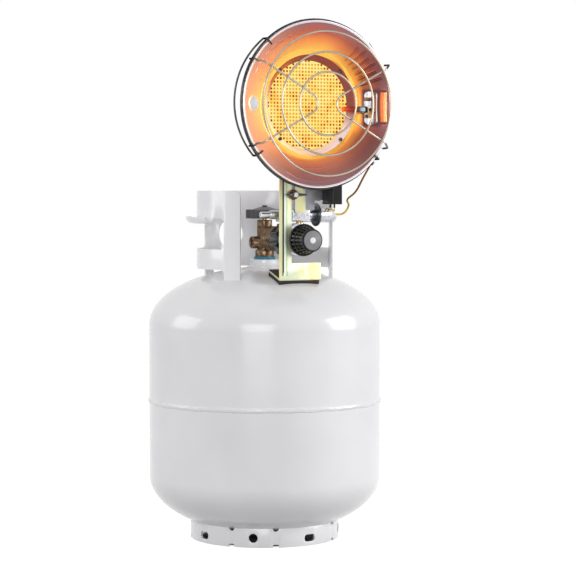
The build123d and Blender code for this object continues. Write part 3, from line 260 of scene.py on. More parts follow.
# Zinc-nickel disc: dark blue-grey metal with a satin face.
grey_metal = finish("zinc_nickel_plate", ("#4d5056", "#6c6f76"), 6, (0.26, 0.4), 0.6, 0.015, metal=1.0)
# Lacquer over steel: a dark red-brown, glossy ring.
brown_lacquer = finish("red_brown_lacquer", ("#4a1a12", "#702c1e"), 4, (0.22, 0.34), 0.5, 0.02)
# Moulded rubber: black-brown and matte, with a fine stipple.
rubber = finish("moulded_rubber", ("#17120d", "#2b2119"), 10, (0.55, 0.8), 0.8, 0.12)
# Drawn spring wire: grey and bright along the turns.
spring_wire = finish("drawn_spring_wire", ("#7d7d80", "#99999d"), 5, (0.25, 0.4), 0.4, 0.01, metal=1.0)
# Closed-cell nitrile foam: black, matte and pitted.
nitrile_foam = finish("nitrile_foam", ("#161616", "#262626"), 4, (0.8, 0.95), 1.2, 0.3)


def plated_wire():
    """Chrome-plated wire: bright, with a painted dark reflection that turns it near black on the far left."""
    made = finish(
        "plated_wire", ("#a59c90", "#c0b6a9"), 25, (0.1, 0.18), 0.6, 0.01, metal=1.0, **painted_dark_edge
    )
    tree = made.node_tree
    where = add(tree, "SeparateXYZ", {"Vector": add(tree, "TexCoord").outputs["Object"]})
    # Painted dark reflection: the colour darkens to near black across the far left.
    wire_shade_share = add(tree, "MapRange", {
        "Value": where.outputs["X"], "From Min": wire_shade_start * MM, "From Max": wire_shade_full * MM, "To Max": 0.9,
    })
    paint(made, add(tree, "Mix", {"Factor": wire_shade_share, 6: bare_colour(made), 7: "#141312"}, data_type="RGBA"))
    return made


def yellow_passivate():
    """Zinc plate with a yellow chromate film: straw with green and pink drifts, as thin films show.

    The chromate colours are drawn into upright bands. Along the pressed bead light and shade are painted: a
    pale painted highlight down its middle, and dark olive painted shade along its sides.
    """
    made = finish(
        "yellow_passivated_zinc", ("#e2c884", "#dedcae", "#d2dec8", "#e6dc96", "#e0c492"), 24, (0.4, 0.54),
        0.7, 0.012, metal=0.6,
    )
    tree = made.node_tree
    where = add(tree, "TexCoord").outputs["Object"]
    patches = next(node for node in tree.nodes if node.type == "TEX_NOISE")
    link(tree, add(tree, "Mapping", {"Vector": where, "Scale": (1, 1, 0.3)}), patches.inputs["Vector"])
    parts = add(tree, "SeparateXYZ", {"Vector": where}).outputs
    over = add(tree, "MapRange", {
        "Value": parts["X"], "From Min": bead_left * MM, "From Max": bead_right * MM,
    }, clamp=False)
    # Painted light and shade on the bead: dark olive painted shade at its sides, a pale painted highlight in
    # its middle.
    bead_light_and_shade = add(tree, "ValToRGB", {"Fac": over}, [
        (0.0, "#6f6a3e"), (0.05, "#2f2c18"), (0.17, "#2f2c18"), (0.25, "#f2f8ee"), (0.5, "#e8f4ea"),
        (0.66, "#9dbd9c"), (0.82, "#dfe4b8"), (0.93, "#7f8a58"), (1.0, "#c9c48a"),
    ])
    beside = add(tree, "Math", {0: over, 1: 0.5, 2: 0.5}, operation="COMPARE")
    within = add(tree, "Math", {0: parts["Z"], 1: bead_middle * MM, 2: bead_half * MM}, operation="COMPARE")
    painted_bead_shading = add(tree, "Math", {0: beside, 1: within}, operation="MULTIPLY")
    paint(made, add(tree, "Mix", {"Factor": painted_bead_shading, 6: bare_colour(made), 7: bead_light_and_shade}, data_type="RGBA"))
    return made


def round_head(tree):
    """A shaded point's place, its direction from the head's axis, and its distance from that axis."""
    where = add(tree, "TexCoord").outputs["Object"]
    centred = add(tree, "Mapping", {"Vector": where, "Location": (0, 0, -HEAD.translation.z)})
    flat = add(tree, "VectorMath", {0: centred, 1: (1, 0, 1)}, operation="MULTIPLY")
    away = add(tree, "VectorMath", {0: flat}, operation="LENGTH")
    towards = add(tree, "VectorMath", {0: flat}, operation="NORMALIZE")
    parts = add(tree, "SeparateXYZ", {"Vector": towards}).outputs
    return where, parts["X"], parts["Z"], away


def near_box(tree, where, across, up, fade):
    """1 inside a box seen from the front, in mm about the head's axis, that fades to 0 outside it."""
    centred = add(tree, "Mapping", {
        "Vector": where, "Location": (-sum(across) / 2 * MM, 0, -HEAD.translation.z - sum(up) / 2 * MM),
    })
    half = (across[1] - across[0]) / 2 * MM, 1, (up[1] - up[0]) / 2 * MM
    reach = add(tree, "VectorMath", {0: centred}, operation="ABSOLUTE")
    over = add(tree, "VectorMath", {0: reach, 1: half}, operation="SUBTRACT")
    beyond = add(tree, "VectorMath", {0: over, 1: (0, 0, 0)}, operation="MAXIMUM")
    away = add(tree, "VectorMath", {0: beyond}, operation="LENGTH")
    return add(tree, "MapRange", {
        "Value": away, "From Max": fade * MM, "To Min": 1.0, "To Max": 0.0,
    }, interpolation_type="SMOOTHSTEP")


def heat_tint_and_painted_glow():
    """Pressed stainless bowl, tinted by heat: straw by the burner, then copper, then mauve at the rim.

    The sides differ by painted light: the left is painted pale peach as reflected glow and the right deep
    brown as shade, the top is painted with the burner's yellow glow and the lower side pinker. Painted shade
    lies round the window, and a painted glow on the bar beside it.
    """
    made, tree = blank("stainless_heat_tint_and_painted_glow")
    where, side, up, away = round_head(tree)
    drift = add(tree, "TexNoise", {"Vector": where, "Scale": 1 / (40 * MM), "Detail": 3.0})
    shift = add(tree, "MapRange", {
        "Value": drift, "From Min": noise_low, "From Max": noise_high, "To Min": -0.05, "To Max": 0.05,
    })
    outward = add(tree, "MapRange", {"Value": away, "From Min": bowl_inner * MM, "From Max": rim_radius * MM})
    place = add(tree, "Math", {0: outward, 1: shift}, operation="ADD")
    # The radial straw, copper and mauve is heat tint; the differences between the sides are painted glow and
    # shade.
    tints = {quarter: add(tree, "ValToRGB", {"Fac": place}, stops) for quarter, stops in {
        "left": [(0.0, "#f9c87a"), (0.25, "#fbcf9c"), (0.65, "#f6c3a0"), (1.0, "#e0b4a6")],
        "right": [(0.0, "#fdb53a"), (0.14, "#e08a3c"), (0.3, "#834430"), (0.65, "#683a38"), (1.0, "#64494c")],
        "top": [(0.0, "#ffd862"), (0.3, "#fbac5c"), (0.5, "#ee8a54"), (0.68, "#c06a56"), (1.0, "#94707a")],
        "bottom": [(0.0, "#f2a045"), (0.3, "#d07c60"), (0.62, "#a46c64"), (1.0, "#94747c")],
    }.items()}
    rightward, upward = [
        add(tree, "MapRange", {
            "Value": way, "From Min": -reach, "From Max": reach,
        }, interpolation_type="SMOOTHSTEP")
        for way, reach in ((side, 0.8), (up, 0.7))
    ]
    steep = add(tree, "Math", {0: up, 1: up}, operation="MULTIPLY")
    rolled = add(tree, "Math", {0: away, 1: (bowl_rim - 0.9) * MM}, operation="GREATER_THAN")
    # Painted shade round the window.
    painted_window_shade = near_box(tree, where, window_x, window_z, 5.0)
    # Painted orange glow on the bar beside the window.
    painted_bar_glow = near_box(tree, where, (bar_x - 2.0, bar_x + 2.4), bar_z, 2.6)
    level = add(tree, "Mix", {"Factor": rightward, 6: tints["left"], 7: tints["right"]}, data_type="RGBA")
    tint = add(tree, "Mix", {"Factor": upward, 6: tints["bottom"], 7: tints["top"]}, data_type="RGBA")
    tint = add(tree, "Mix", {"Factor": steep, 6: level, 7: tint}, data_type="RGBA")
    for share, colour in ((rolled, "#efecf5"), (painted_window_shade, "#4a2f2e"), (painted_bar_glow, "#f0925f")):
        tint = add(tree, "Mix", {"Factor": share, 6: tint, 7: colour}, data_type="RGBA")
    gloss = skin(tree, where, (0.28, 0.38), 0.9, 0.012, detail=3.0)
    shader = add(tree, "BsdfPrincipled", {"Base Color": tint, "Metallic": 1.0, **gloss})
    add(tree, "OutputMaterial", {"Surface": shader})
    return made


def stainless_painted_shade_and_glow():
    """Satin stainless ring: lavender-white, with painted brown shade on its upper side and a painted straw
    glow on its flange, yellower to the left.
    """
    made = finish("satin_stainless", ("#e2dfe9", "#efedf3"), 20, (0.3, 0.42), 0.8, 0.01, metal=0.6)
    tree = made.node_tree
    _, side, up, away = round_head(tree)
    # Painted shade: the upper side, which faces down, is painted brown.
    leaning = add(tree, "Math", {0: side, 1: 0.3, 2: up}, operation="MULTIPLY_ADD")
    bezel_shade_share = add(tree, "MapRange", {"Value": leaning, "From Min": -0.22, "From Max": 0.2})
    brown = add(tree, "ValToRGB", {"Fac": bezel_shade_share}, [(0.0, "#c77f6a"), (0.6, "#a8604c"), (1.0, "#8c4c46")])
    tint = add(tree, "Mix", {"Factor": bezel_shade_share, 6: bare_colour(made), 7: brown}, data_type="RGBA")
    # Painted glow on the flange, yellower on the left than on the right.
    rightward = add(tree, "MapRange", {"Value": side, "From Min": -0.4, "From Max": 0.5})
    straw = add(tree, "Mix", {"Factor": rightward, 6: "#ffd060", 7: "#dc9636"}, data_type="RGBA")
    flange = add(tree, "Math", {0: away, 1: (bezel_radius - bezel_lap) * MM}, operation="GREATER_THAN")
    paint(made, add(tree, "Mix", {"Factor": flange, 6: tint, 7: straw}, data_type="RGBA"))
    return made


def glowing_ceramic():
    """Perforated cordierite at red heat: yellow webs, and holes that glow red, orange or amber."""
    made, tree = blank("glowing_cordierite")
    where, _, _, away = round_head(tree)
    centred = add(tree, "Mapping", {"Vector": where, "Location": (0, 0, -HEAD.translation.z)})
    cell = add(tree, "VectorMath", {0: centred, 1: (hole_pitch * MM, 1, hole_pitch * MM)}, operation="SNAP")
    chance = add(tree, "TexWhiteNoise", {"Vector": cell}, noise_dimensions="3D")
    drift = add(tree, "TexNoise", {"Vector": where, "Scale": 1 / (20 * MM), "Detail": 2.0})
    heat = add(tree, "Math", {0: chance, 1: 0.3, 2: drift}, operation="MULTIPLY_ADD")
    edge = add(tree, "MapRange", {
        "Value": away, "From Min": cool_start * MM, "From Max": cool_full * MM, "To Max": -0.4,
    })
    heat = add(tree, "Math", {0: heat, 1: edge}, operation="ADD")
    web = add(tree, "ValToRGB", {"Fac": drift}, [(0.30, "#ffcf5c"), (0.42, "#ffe270"), (0.6, "#ffee8c")])
    pit = add(tree, "ValToRGB", {"Fac": heat}, [
        (0.38, "#a8320e"), (0.47, "#cf5a1e"), (0.55, "#e08c34"), (0.64, "#e4a444"), (0.85, "#e0ac4c"),
    ])
    depth = add(tree, "SeparateXYZ", {"Vector": where}).outputs["Y"]
    sunk = add(tree, "MapRange", {
        "Value": depth, "From Min": plaque_face * MM, "From Max": (plaque_face + 0.25) * MM,
    })
    glow = add(tree, "Mix", {"Factor": sunk, 6: web, 7: pit}, data_type="RGBA")
    shader = add(tree, "BsdfPrincipled", {
        "Base Color": "#201811", "Roughness": 0.85, "Emission Color": glow, "Emission Strength": 1.0,
    })
    add(tree, "OutputMaterial", {"Surface": shader})
    return made


def hot_probe():
    """Heat-resisting alloy: a red-orange glowing tip, a hexagon tempered blue and a black collar."""
    made, tree = blank("heated_probe_alloy")
    along = add(tree, "SeparateXYZ", {"Vector": add(tree, "TexCoord").outputs["Object"]}).outputs["X"]
    low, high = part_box("thermocouple_probe")
    place = add(tree, "MapRange", {"Value": along, "From Min": low.x, "From Max": high.x})
    temper = add(tree, "ValToRGB", {"Fac": place}, [
        (0.0, "#a8321a"), (0.3, "#7c2a1a"), (0.6, "#5a2a26"), (0.66, "#7fa3ac"), (0.82, "#b4cdd2"),
        (0.84, "#121212"),
    ])
    glow = add(tree, "ValToRGB", {"Fac": place}, [
        (0.0, "#f07a1c"), (0.1, "#c0391a"), (0.3, "#6a1a10"), (0.6, "#30100c"), (0.64, "#000000"),
    ])
    shader = add(tree, "BsdfPrincipled", {
        "Base Color": temper, "Metallic": 0.6, "Roughness": 0.35,
        "Emission Color": glow, "Emission Strength": 0.8,
    })
    add(tree, "OutputMaterial", {"Surface": shader})
    return made


def drawn_copper():
    """Copper capillary, brown with heat; its lower end keeps a yellow lacquer."""
    made, tree = blank("drawn_copper")
    where = add(tree, "TexCoord").outputs["Object"]
    up = add(tree, "SeparateXYZ", {"Vector": where}).outputs["Z"]
    low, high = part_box("thermocouple_lead")
    share = add(tree, "MapRange", {"Value": up, "From Min": low.z, "From Max": high.z})
    lacquer = add(tree, "ValToRGB", {"Fac": share}, [
        (0.0, "#c3a737"), (0.13, "#a8862c"), (0.24, "#7d5326"), (1.0, "#65381f"),
    ])
    gloss = skin(tree, where, (0.22, 0.38), 0.5, 0.01)
    shader = add(tree, "BsdfPrincipled", {"Base Color": lacquer, "Metallic": 1.0, **gloss})
    add(tree, "OutputMaterial", {"Surface": shader})
    return made


def tempered_strap_with_notch_shade():
    """Nickel-plated strap whose plate under the probe the heat has turned tan; the band above it is tan, with
    painted shade of a notch dark at its foot.
    """
    made = finish("tempered_nickel", ("#d9d8db", "#efeef0"), 9, (0.22, 0.34), 0.6, 0.015, metal=1.0)
    tree = made.node_tree
    where = add(tree, "SeparateXYZ", {"Vector": add(tree, "TexCoord").outputs["Object"]}).outputs
    foot, top = [HEAD.translation.z + limit * MM for limit in strap_z]
    share = add(tree, "MapRange", {"Value": where["Z"], "From Min": foot, "From Max": top})
    # Tan tints, and at the foot of the upper band a painted notch shade.
    bands = add(tree, "ValToRGB", {"Fac": share}, [
        (0.0, "#ffffff"), (0.19, "#ffffff"), (0.21, "#d8bd9c"), (0.51, "#d8bd9c"), (0.53, "#ffffff"),
        (0.75, "#ffffff"), (0.77, "#7d5e48"), (0.87, "#b79a80"), (0.89, "#ffffff"),
    ])
    inner = add(tree, "Math", {0: where["X"], 1: strap_x * MM}, operation="LESS_THAN")
    paint(made, add(tree, "Mix", {
        "Factor": inner, 6: bare_colour(made), 7: bands,
    }, data_type="RGBA", blend_type="MULTIPLY"))
    return made


def cap_face():
    """Moulded grey cap with a black rim and a pad-printed white dot in its middle."""
    made = finish("grey_cap", ("#7c7c7f", "#8b8b8e"), 12, (0.34, 0.46), 0.6, 0.02)
    tree = made.node_tree
    where = add(tree, "TexCoord").outputs["Object"]
    centred = add(tree, "Mapping", {"Vector": where, "Location": (0, 0, -OUTLET.translation.z)})
    flat = add(tree, "VectorMath", {0: centred, 1: (1, 0, 1)}, operation="MULTIPLY")
    away = add(tree, "VectorMath", {0: flat}, operation="LENGTH")
    rim = add(tree, "Math", {0: away, 1: cap_rim * MM}, operation="GREATER_THAN")
    dot = add(tree, "Math", {0: away, 1: cap_dot * MM}, operation="LESS_THAN")
    rimmed = add(tree, "Mix", {"Factor": rim, 6: bare_colour(made), 7: "#0b0b0c"}, data_type="RGBA")
    paint(made, add(tree, "Mix", {"Factor": dot, 6: rimmed, 7: "#f4f4f4"}, data_type="RGBA"))
    return made


# By slot, and below them by node or piece where one differs from its slot.
finishes = {
    "white_enamel": powder_coat, "forged_brass": cast_brass, "bright_brass": turned_brass,
    "teal_sealant": teal_sealant, "grey_nylon": grey_nylon, "black_nylon": black_nylon,
    "cap_grey": cap_face(), "die_cast_zinc": zinc_casting, "yellow_zinc": yellow_passivate(),
    "reflector_steel": heat_tint_and_painted_glow(), "bezel_steel": stainless_painted_shade_and_glow(), "aluminised_steel": aluminised,
    "guard_wire": plated_wire(), "hot_ceramic": glowing_ceramic(), "fibre_gasket": ceramic_fibre,
    "dark_steel": black_oxide, "bright_steel": nickel_steel, "copper": drawn_copper(),
    "black_rubber": rubber, "hot_probe": hot_probe(), "spring_steel": spring_wire, "float_foam": nitrile_foam,

    "steel_channel": plain_sheet, "clamp_disc": grey_metal, "probe_bracket": tempered_strap_with_notch_shade(),
    "bleeder_screw": cast_brass, "base_wire_ring": dark_painted_reflection_wire, "guard_side_arcs": dark_painted_reflection_wire,
}
for name, part in frame["nodes"].items():
    part.data.materials[0] = finishes.get(name, finishes[slot_of[name]])


# ------------------------------------------------------------------ mesh tools
def lathe(profile, steps, closed=True):
    """Spins (radius, height) points about the Z axis."""
    bm = bmesh.new()
    verts = [bm.verts.new((radius, 0, height)) for radius, height in profile]
    pairs = zip(verts, verts[1:] + verts[:1]) if closed else zip(verts, verts[1:])
    edges = [bm.edges.new(pair) for pair in pairs]
    bmesh.ops.spin(
        bm, geom=verts + edges, cent=(0, 0, 0), axis=(0, 0, 1), angle=2 * pi, steps=steps, use_merge=True
    )
    return bm


def once(items):
    """A list of items in their order, each only once."""
    return list(dict.fromkeys(items))


def tidy(bm, gap=1e-4):
    """Merges doubles and turns the faces outwards."""
    bmesh.ops.remove_doubles(bm, verts=bm.verts, dist=gap)
    bmesh.ops.dissolve_degenerate(bm, edges=bm.edges, dist=gap)
    bmesh.ops.recalc_face_normals(bm, faces=bm.faces)


def soften(bm, width, segments=2, angle=35):
    """Rounds the edges that are sharper than an angle."""
    sharp = [edge for edge in bm.edges if edge.is_manifold and edge.calc_face_angle(0) > radians(angle)]
    bmesh.ops.bevel(
        bm, geom=sharp, offset=width, offset_type="OFFSET", segments=segments, profile=0.5, affect="EDGES",
        clamp_overlap=True, material=-1,
    )


def copy_of(node):
    """A merged copy of a CAD node's mesh, with its flat faces whole."""
    bm = bmesh.new()
    bm.from_mesh(frame["nodes"][node].data)
    bmesh.ops.remove_doubles(bm, verts=bm.verts, dist=1e-6)
    bmesh.ops.dissolve_limit(bm, angle_limit=radians(1), verts=bm.verts, edges=bm.edges)
    return bm


def piece(bm, name, place, body, slot, *nodes, smooth=40):
    """Makes a piece from a bmesh, puts it in its place, and lets it stand for CAD nodes."""
    bm.transform(place)
    bmesh.ops.recalc_face_normals(bm, faces=bm.faces)
    mesh = bpy.data.meshes.new(name)
    bm.to_mesh(mesh)
    bm.free()
    mesh.shade_smooth()
    mesh.set_sharp_from_angle(angle=radians(smooth))
    mesh.materials.append(finishes.get(name, finishes[slot]))
    made = bpy.data.objects.new(name, mesh)
    scene.collection.objects.link(made)
    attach(made, body)
    if nodes:
        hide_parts(*nodes)
    return made


def softened(node, name, width):
    """Replaces a CAD node with a copy whose edges are rounded by a width in mm."""
    bm = copy_of(node)
    soften(bm, width * MM)
    body = frame["nodes"][node]["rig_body"]
    return piece(bm, name, Matrix.Identity(4), body, slot_of[node], node, smooth=50)


def baked(made):
    """Applies a piece's modifiers to its mesh."""
    bpy.context.view_layer.update()
    shown = made.evaluated_get(bpy.context.evaluated_depsgraph_get())
    mesh = bpy.data.meshes.new_from_object(shown)
    made.modifiers.clear()
    made.data = mesh
    return made


def carve(made, cutters):
    """Cuts closed bmeshes, given in the frame's metres, out of a piece."""
    tools = []
    for bm in cutters:
        tidy(bm, 1e-7)
        mesh = bpy.data.meshes.new("cutter")
        bm.to_mesh(mesh)
        bm.free()
        tool = bpy.data.objects.new("cutter", mesh)
        scene.collection.objects.link(tool)
        modifier = made.modifiers.new("cut", "BOOLEAN")
        modifier.operation, modifier.solver, modifier.object = "DIFFERENCE", "EXACT", tool
        tools.append(tool)
    baked(made)
    for tool in tools:
        bpy.data.objects.remove(tool)
    return made


# ------------------------------------------------------------------ reflector
rim_front = -reflector_low.y / MM
flat_back = -reflector_high.y / MM
sheet, rim_lip, rim_skirt = 1.0, 0.9, 8.1
bowl_front = flat_back + sheet
bowl_depth = rim_front - rim_lip - bowl_front
eye_x, eye_radius, eye_roll, eye_swell = -85.0, 8.8, 2.6, 0.7
bowl_steps, bowl_rings = 540, 40
rolled_rim = (-1.25, -0.25), (-0.9, 0.0), (-0.5, 0.0), (-0.12, -0.2), (0.0, -0.6)    # from the rim's edge
bar_half, bar_rise = 4.6, 3.0
rib_foot, rib_ends, rib_half, rib_rise = 76.0, (98.0, 95.0), 2.1, 2.3
cut_depth = 60.0        # past both faces of the bowl


def pressed_bar(x, y, start, end, width, height):
    """The height at (x, y) of a rounded bar pressed between two points."""
    (ax, ay), (bx, by) = start, end
    length = hypot(bx - ax, by - ay)
    share = min(1, max(0, ((x - ax) * (bx - ax) + (y - ay) * (by - ay)) / length ** 2))
    away = hypot(x - ax - share * (bx - ax), y - ay - share * (by - ay)) / width
    return height * (1 - away * away) ** 2 if away < 1 else 0.0


def polar(angle, radius):
    """The point at an angle in degrees and a radius."""
    return radius * cos(radians(angle)), radius * sin(radians(angle))


def bowl_bars():
    """The bars pressed into the bowl, each as a start, an end, half its width and its height.

    Long ribs stand up on the right, faint ones lie along the top and the foot, and one is by the window.
    """
    bars = [((bar_x, bar_z[0]), (bar_x, bar_z[1]), bar_half, bar_rise)]
    for index, angle in enumerate(range(21, 56, 6)):
        bars.append((polar(angle, rib_foot), polar(angle, rib_ends[index % 2]), rib_half, rib_rise))
    for angle in range(64, 160, 8):
        bars.append((polar(angle, 93.0), polar(angle + 3.5, 93.5), 1.6, 0.45))
    for angle in range(72, 168, 12):
        bars.append((polar(angle, 78.0), polar(angle, 88.0), 1.8, 0.3))
    for row, (radius, start, end) in enumerate(((81.0, 262, 284), (88.5, 262, 290), (96.5, 258, 292))):
        for angle in range(start, end, 5):
            bars.append((polar(angle, radius), polar(angle + 2.0, radius + 0.6 * row), 1.5, 0.55))
    bars.append((polar(243, 95.0), polar(254, 97.5), 1.4, 0.5))
    return bars


def make_reflector():
    """The bowl: a lathed sheet with a rolled rim, pressed bars, an eye hole and the window."""
    slope = bowl_depth / bowl_cone
    rings = [bowl_cone * index / bowl_rings for index in range(1, bowl_rings + 1)]
    profile = [(bowl_inner, bowl_front), (bowl_inner + 2.2, bowl_front)]
    profile += [(bowl_crease - 0.4, bowl_front + 0.05)]
    profile += [(bowl_crease + out, bowl_front + out * slope) for out in rings]
    profile += [(rim_radius + out, rim_front + up) for out, up in rolled_rim]
    profile += [(rim_radius, rim_front - rim_skirt), (rim_radius - sheet, rim_front - rim_skirt)]
    profile += [(rim_radius - sheet, rim_front - 1.8)]
    profile += [(bowl_crease + out + 0.3, flat_back + out * slope - 0.1) for out in reversed(rings)]
    profile += [(bowl_crease, flat_back), (bowl_inner, flat_back)]
    bm = lathe(profile, bowl_steps)
    tidy(bm)
    bars = bowl_bars()
    for vert in bm.verts:
        if bowl_crease + 1.5 < hypot(vert.co.x, vert.co.y) < bowl_rim - 1.0:
            vert.co.z += max(pressed_bar(vert.co.x, vert.co.y, *bar) for bar in bars)
            from_eye = hypot(vert.co.x - eye_x, vert.co.y) - eye_radius
            if from_eye < eye_roll:
                vert.co.z += eye_swell * (1 - (max(0.0, from_eye) / eye_roll) ** 2)
    made = piece(bm, "reflector_pressing", HEAD, "heater", "reflector_steel", "reflector", smooth=30)
    eye = bmesh.new()
    bmesh.ops.create_cone(
        eye, cap_ends=True, segments=48, radius1=eye_radius, radius2=eye_radius, depth=cut_depth,
        matrix=Matrix.Translation((eye_x, 0, rim_front)),
    )
    opening = bmesh.new()
    (left, right), (bottom, top) = window_x, window_z
    place = Matrix.Translation(((left + right) / 2, (bottom + top) / 2, rim_front))
    bmesh.ops.create_cube(opening, matrix=place @ Matrix.Diagonal((right - left, top - bottom, cut_depth, 1)))
    corners = [edge for edge in opening.edges if abs(edge.verts[0].co.z - edge.verts[1].co.z) > 1]
    bmesh.ops.bevel(
        opening, geom=corners, offset=window_corner, offset_type="OFFSET", segments=5, profile=0.5,
        affect="EDGES", material=-1,
    )
    for cutter in (eye, opening):
        cutter.transform(HEAD)
    carve(made, [eye, opening])
    made.data.set_sharp_from_angle(angle=radians(30))


make_reflector()


# ------------------------------------------------------------------ burner plaque
hole_web, hole_corner, hole_depth = 1.15, 0.65, 1.6
plaque_land, plaque_gap = 3.5, 0.3      # the edge without holes, and the room round the disc


def make_plaque():
    """The plaque: a disc cut from a grid, with a pit in each whole cell."""
    radius = plaque_radius - plaque_gap
    pierced = plaque_radius - plaque_land
    cells = 2 * (int(plaque_radius / hole_pitch) + 1)
    bm = bmesh.new()
    bmesh.ops.create_grid(bm, x_segments=cells, y_segments=cells, size=cells * hole_pitch / 2)
    outside = [face for face in bm.faces if face.calc_center_median().length > plaque_radius + 1.0]
    bmesh.ops.delete(bm, geom=outside, context="FACES")
    for vert in bm.verts:
        if vert.co.length > radius:
            vert.co *= radius / vert.co.length
    webs = [face for face in bm.faces if face.calc_center_median().length < pierced]
    rim = [edge for edge in bm.edges if edge.is_boundary]
    walls = bmesh.ops.extrude_edge_only(bm, edges=rim)["geom"]
    lowered = [item for item in walls if isinstance(item, bmesh.types.BMVert)]
    bmesh.ops.translate(bm, verts=lowered, vec=(0, 0, -(plaque_high.y - plaque_low.y) / MM))
    bmesh.ops.contextual_create(bm, geom=[edge for edge in bm.edges if edge.is_boundary])
    bmesh.ops.inset_individual(bm, faces=webs, thickness=hole_web, depth=0.0)
    corners = once(vert for face in webs for vert in face.verts)
    bmesh.ops.bevel(
        bm, geom=corners, offset=hole_corner, offset_type="OFFSET", segments=1, profile=0.5,
        affect="VERTICES", material=-1,
    )
    mouths = [face for face in bm.faces if len(face.verts) == 8 and face.normal.z > 0.9
              and face.calc_center_median().length < pierced]
    pits = bmesh.ops.extrude_discrete_faces(bm, faces=mouths)["faces"]
    for pit in pits:
        bmesh.ops.translate(bm, verts=list(pit.verts), vec=(0, 0, -hole_depth))
    bmesh.ops.translate(bm, verts=bm.verts, vec=(0, 0, -plaque_face))
    return piece(bm, "burner_plaque", HEAD, "heater", "hot_ceramic", "ceramic_plaque", smooth=30)


make_plaque()


# ------------------------------------------------------------------ guard
wire = 1.25             # radius
hook_reach, hook_back = 4.3, 4.2        # how far a hook stands out from the rim, and reaches behind it
hairpins = {"left": (150.0, 209.0), "right": (28.0, -30.0)}
hairpin_kink, kink_shares = {"left": 1.1, "right": 0.0}, (0.25, 0.6)
hairpin_bend, arm_bends = 13.0, [4.0, 5.0, 5.0, 6.0]
arm_start, arm_fall, arm_end = 1.0, 13.0, 6.0
weld_width, weld_height = 1.5, 1.0


def ring_place(node):
    """A guard ring's radius, and how far forward it lies."""
    low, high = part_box(node)
    return (high.x - low.x) / 2 / MM - wire, -(low.y + high.y) / 2 / MM


ring_radii = [ring_place(f"guard_{ring}_ring")[0] for ring in ("outer", "middle", "inner")]
ring_forward = ring_place("guard_outer_ring")[1]
arm_forward = ring_forward - 2 * wire
hook_radius = rim_radius + hook_reach


def make_ring(node, name):
    """A wire ring about the head's axis."""
    radius, forward = ring_place(node)
    bm = bmesh.new()
    stand = Matrix.Translation((radius, 0, forward)) @ Matrix.Rotation(radians(90), 4, "X")
    circle = bmesh.ops.create_circle(bm, segments=14, radius=wire, matrix=stand)["verts"]
    edges = once(edge for vert in circle for edge in vert.link_edges)
    bmesh.ops.spin(
        bm, geom=circle + edges, cent=(0, 0, 0), axis=(0, 0, 1), angle=2 * pi, steps=180, use_merge=True
    )
    return piece(bm, name, HEAD, "heater", "guard_wire", node, smooth=80)


for ring in ("inner", "middle", "outer", "base"):
    make_ring(f"guard_{ring}_ring", f"{ring}_wire_ring")


def head_point(angle, radius, forward, across=0.0):
    """A point about the head's axis, moved across its radius by a distance."""
    return Matrix.Rotation(radians(angle), 3, "Z") @ Vector((radius, across, forward))


def rounded(points, bends):
    """Points along straight runs whose corners are turned by arcs of given radii."""
    line = [points[0]]
    for before, here, after, bend in zip(points, points[1:], points[2:], bends):
        back, on = (before - here).normalized(), (after - here).normalized()
        half = back.angle(on) / 2
        middle_way = (back + on).normalized()
        centre = here + middle_way * (bend / sin(half))
        start, end = here + back * (bend / tan(half)) - centre, here + on * (bend / tan(half)) - centre
        line += [centre + start.slerp(end, step / 8) * bend for step in range(9)]
    return line + [points[-1]]


def wire_mesh(points, radius):
    """A round wire along a line of points."""
    curve = bpy.data.curves.new("wire", "CURVE")
    curve.dimensions = "3D"
    curve.bevel_depth, curve.bevel_resolution, curve.use_fill_caps = radius, 3, True
    spline = curve.splines.new("POLY")
    spline.points.add(len(points) - 1)
    for control, point in zip(spline.points, points):
        control.co = (*point, 1.0)
    carrier = bpy.data.objects.new("wire", curve)
    scene.collection.objects.link(carrier)
    mesh = bpy.data.meshes.new_from_object(carrier.evaluated_get(bpy.context.evaluated_depsgraph_get()))
    bpy.data.objects.remove(carrier)
    bm = bmesh.new()
    bm.from_mesh(mesh)
    return bm


def make_hairpin(side):
    """A hairpin of wire under the rings: its ends hook behind the rim, and the left one's arms are kinked."""
    corner, inside = (hook_radius - arm_start, arm_forward - arm_fall), (ring_radii[0] + arm_end, arm_forward)
    kink = hairpin_kink[side]
    arms = []
    for angle, turn in zip(hairpins[side], (1, -1)):
        points = [head_point(angle, hook_radius, rim_front - rim_lip - hook_back), head_point(angle, *corner)]
        for share, across in zip(kink_shares, (kink, -kink)):
            radius, forward = [there + share * (here - there) for here, there in zip(inside, corner)]
            points.append(head_point(angle, radius, forward, across * turn))
        arms.append(points + [head_point(angle, *inside)])
    route = arms[0] + [head_point(0, 0, arm_forward)] + arms[1][::-1]
    bends = arm_bends + [hairpin_bend] + arm_bends[::-1]
    bm = wire_mesh(rounded(route, bends), wire)
    for angle in hairpins[side]:
        for radius in ring_radii:
            place = Matrix.Translation(head_point(angle, radius, ring_forward - wire))
            shape = Matrix.Diagonal((weld_width, weld_width, weld_height, 1))
            bmesh.ops.create_icosphere(bm, subdivisions=2, radius=1.0, matrix=place @ shape)
    name = "guard_hairpin_" + side
    return piece(bm, "wire_hairpin_" + side, HEAD, "heater", "guard_wire", name, smooth=80)


for side in hairpins:
    make_hairpin(side)


# ------------------------------------------------------------------ cylinder
bead_proud, bead_spread = 1.5, 1.25     # the bead's height, and how much wider it is drawn than the CAD's
bead_points, bead_steps = 9, 840
bead_root, bead_trim = 1.0, 0.15        # how deep it sits in the shell, and how much lower its crown is
bead_ripple, ripple_pace = 0.6, 60      # the ripples' height, and how closely they follow each other
bead_lean, bead_wander, wander_pace = 0.2, 0.9, 9


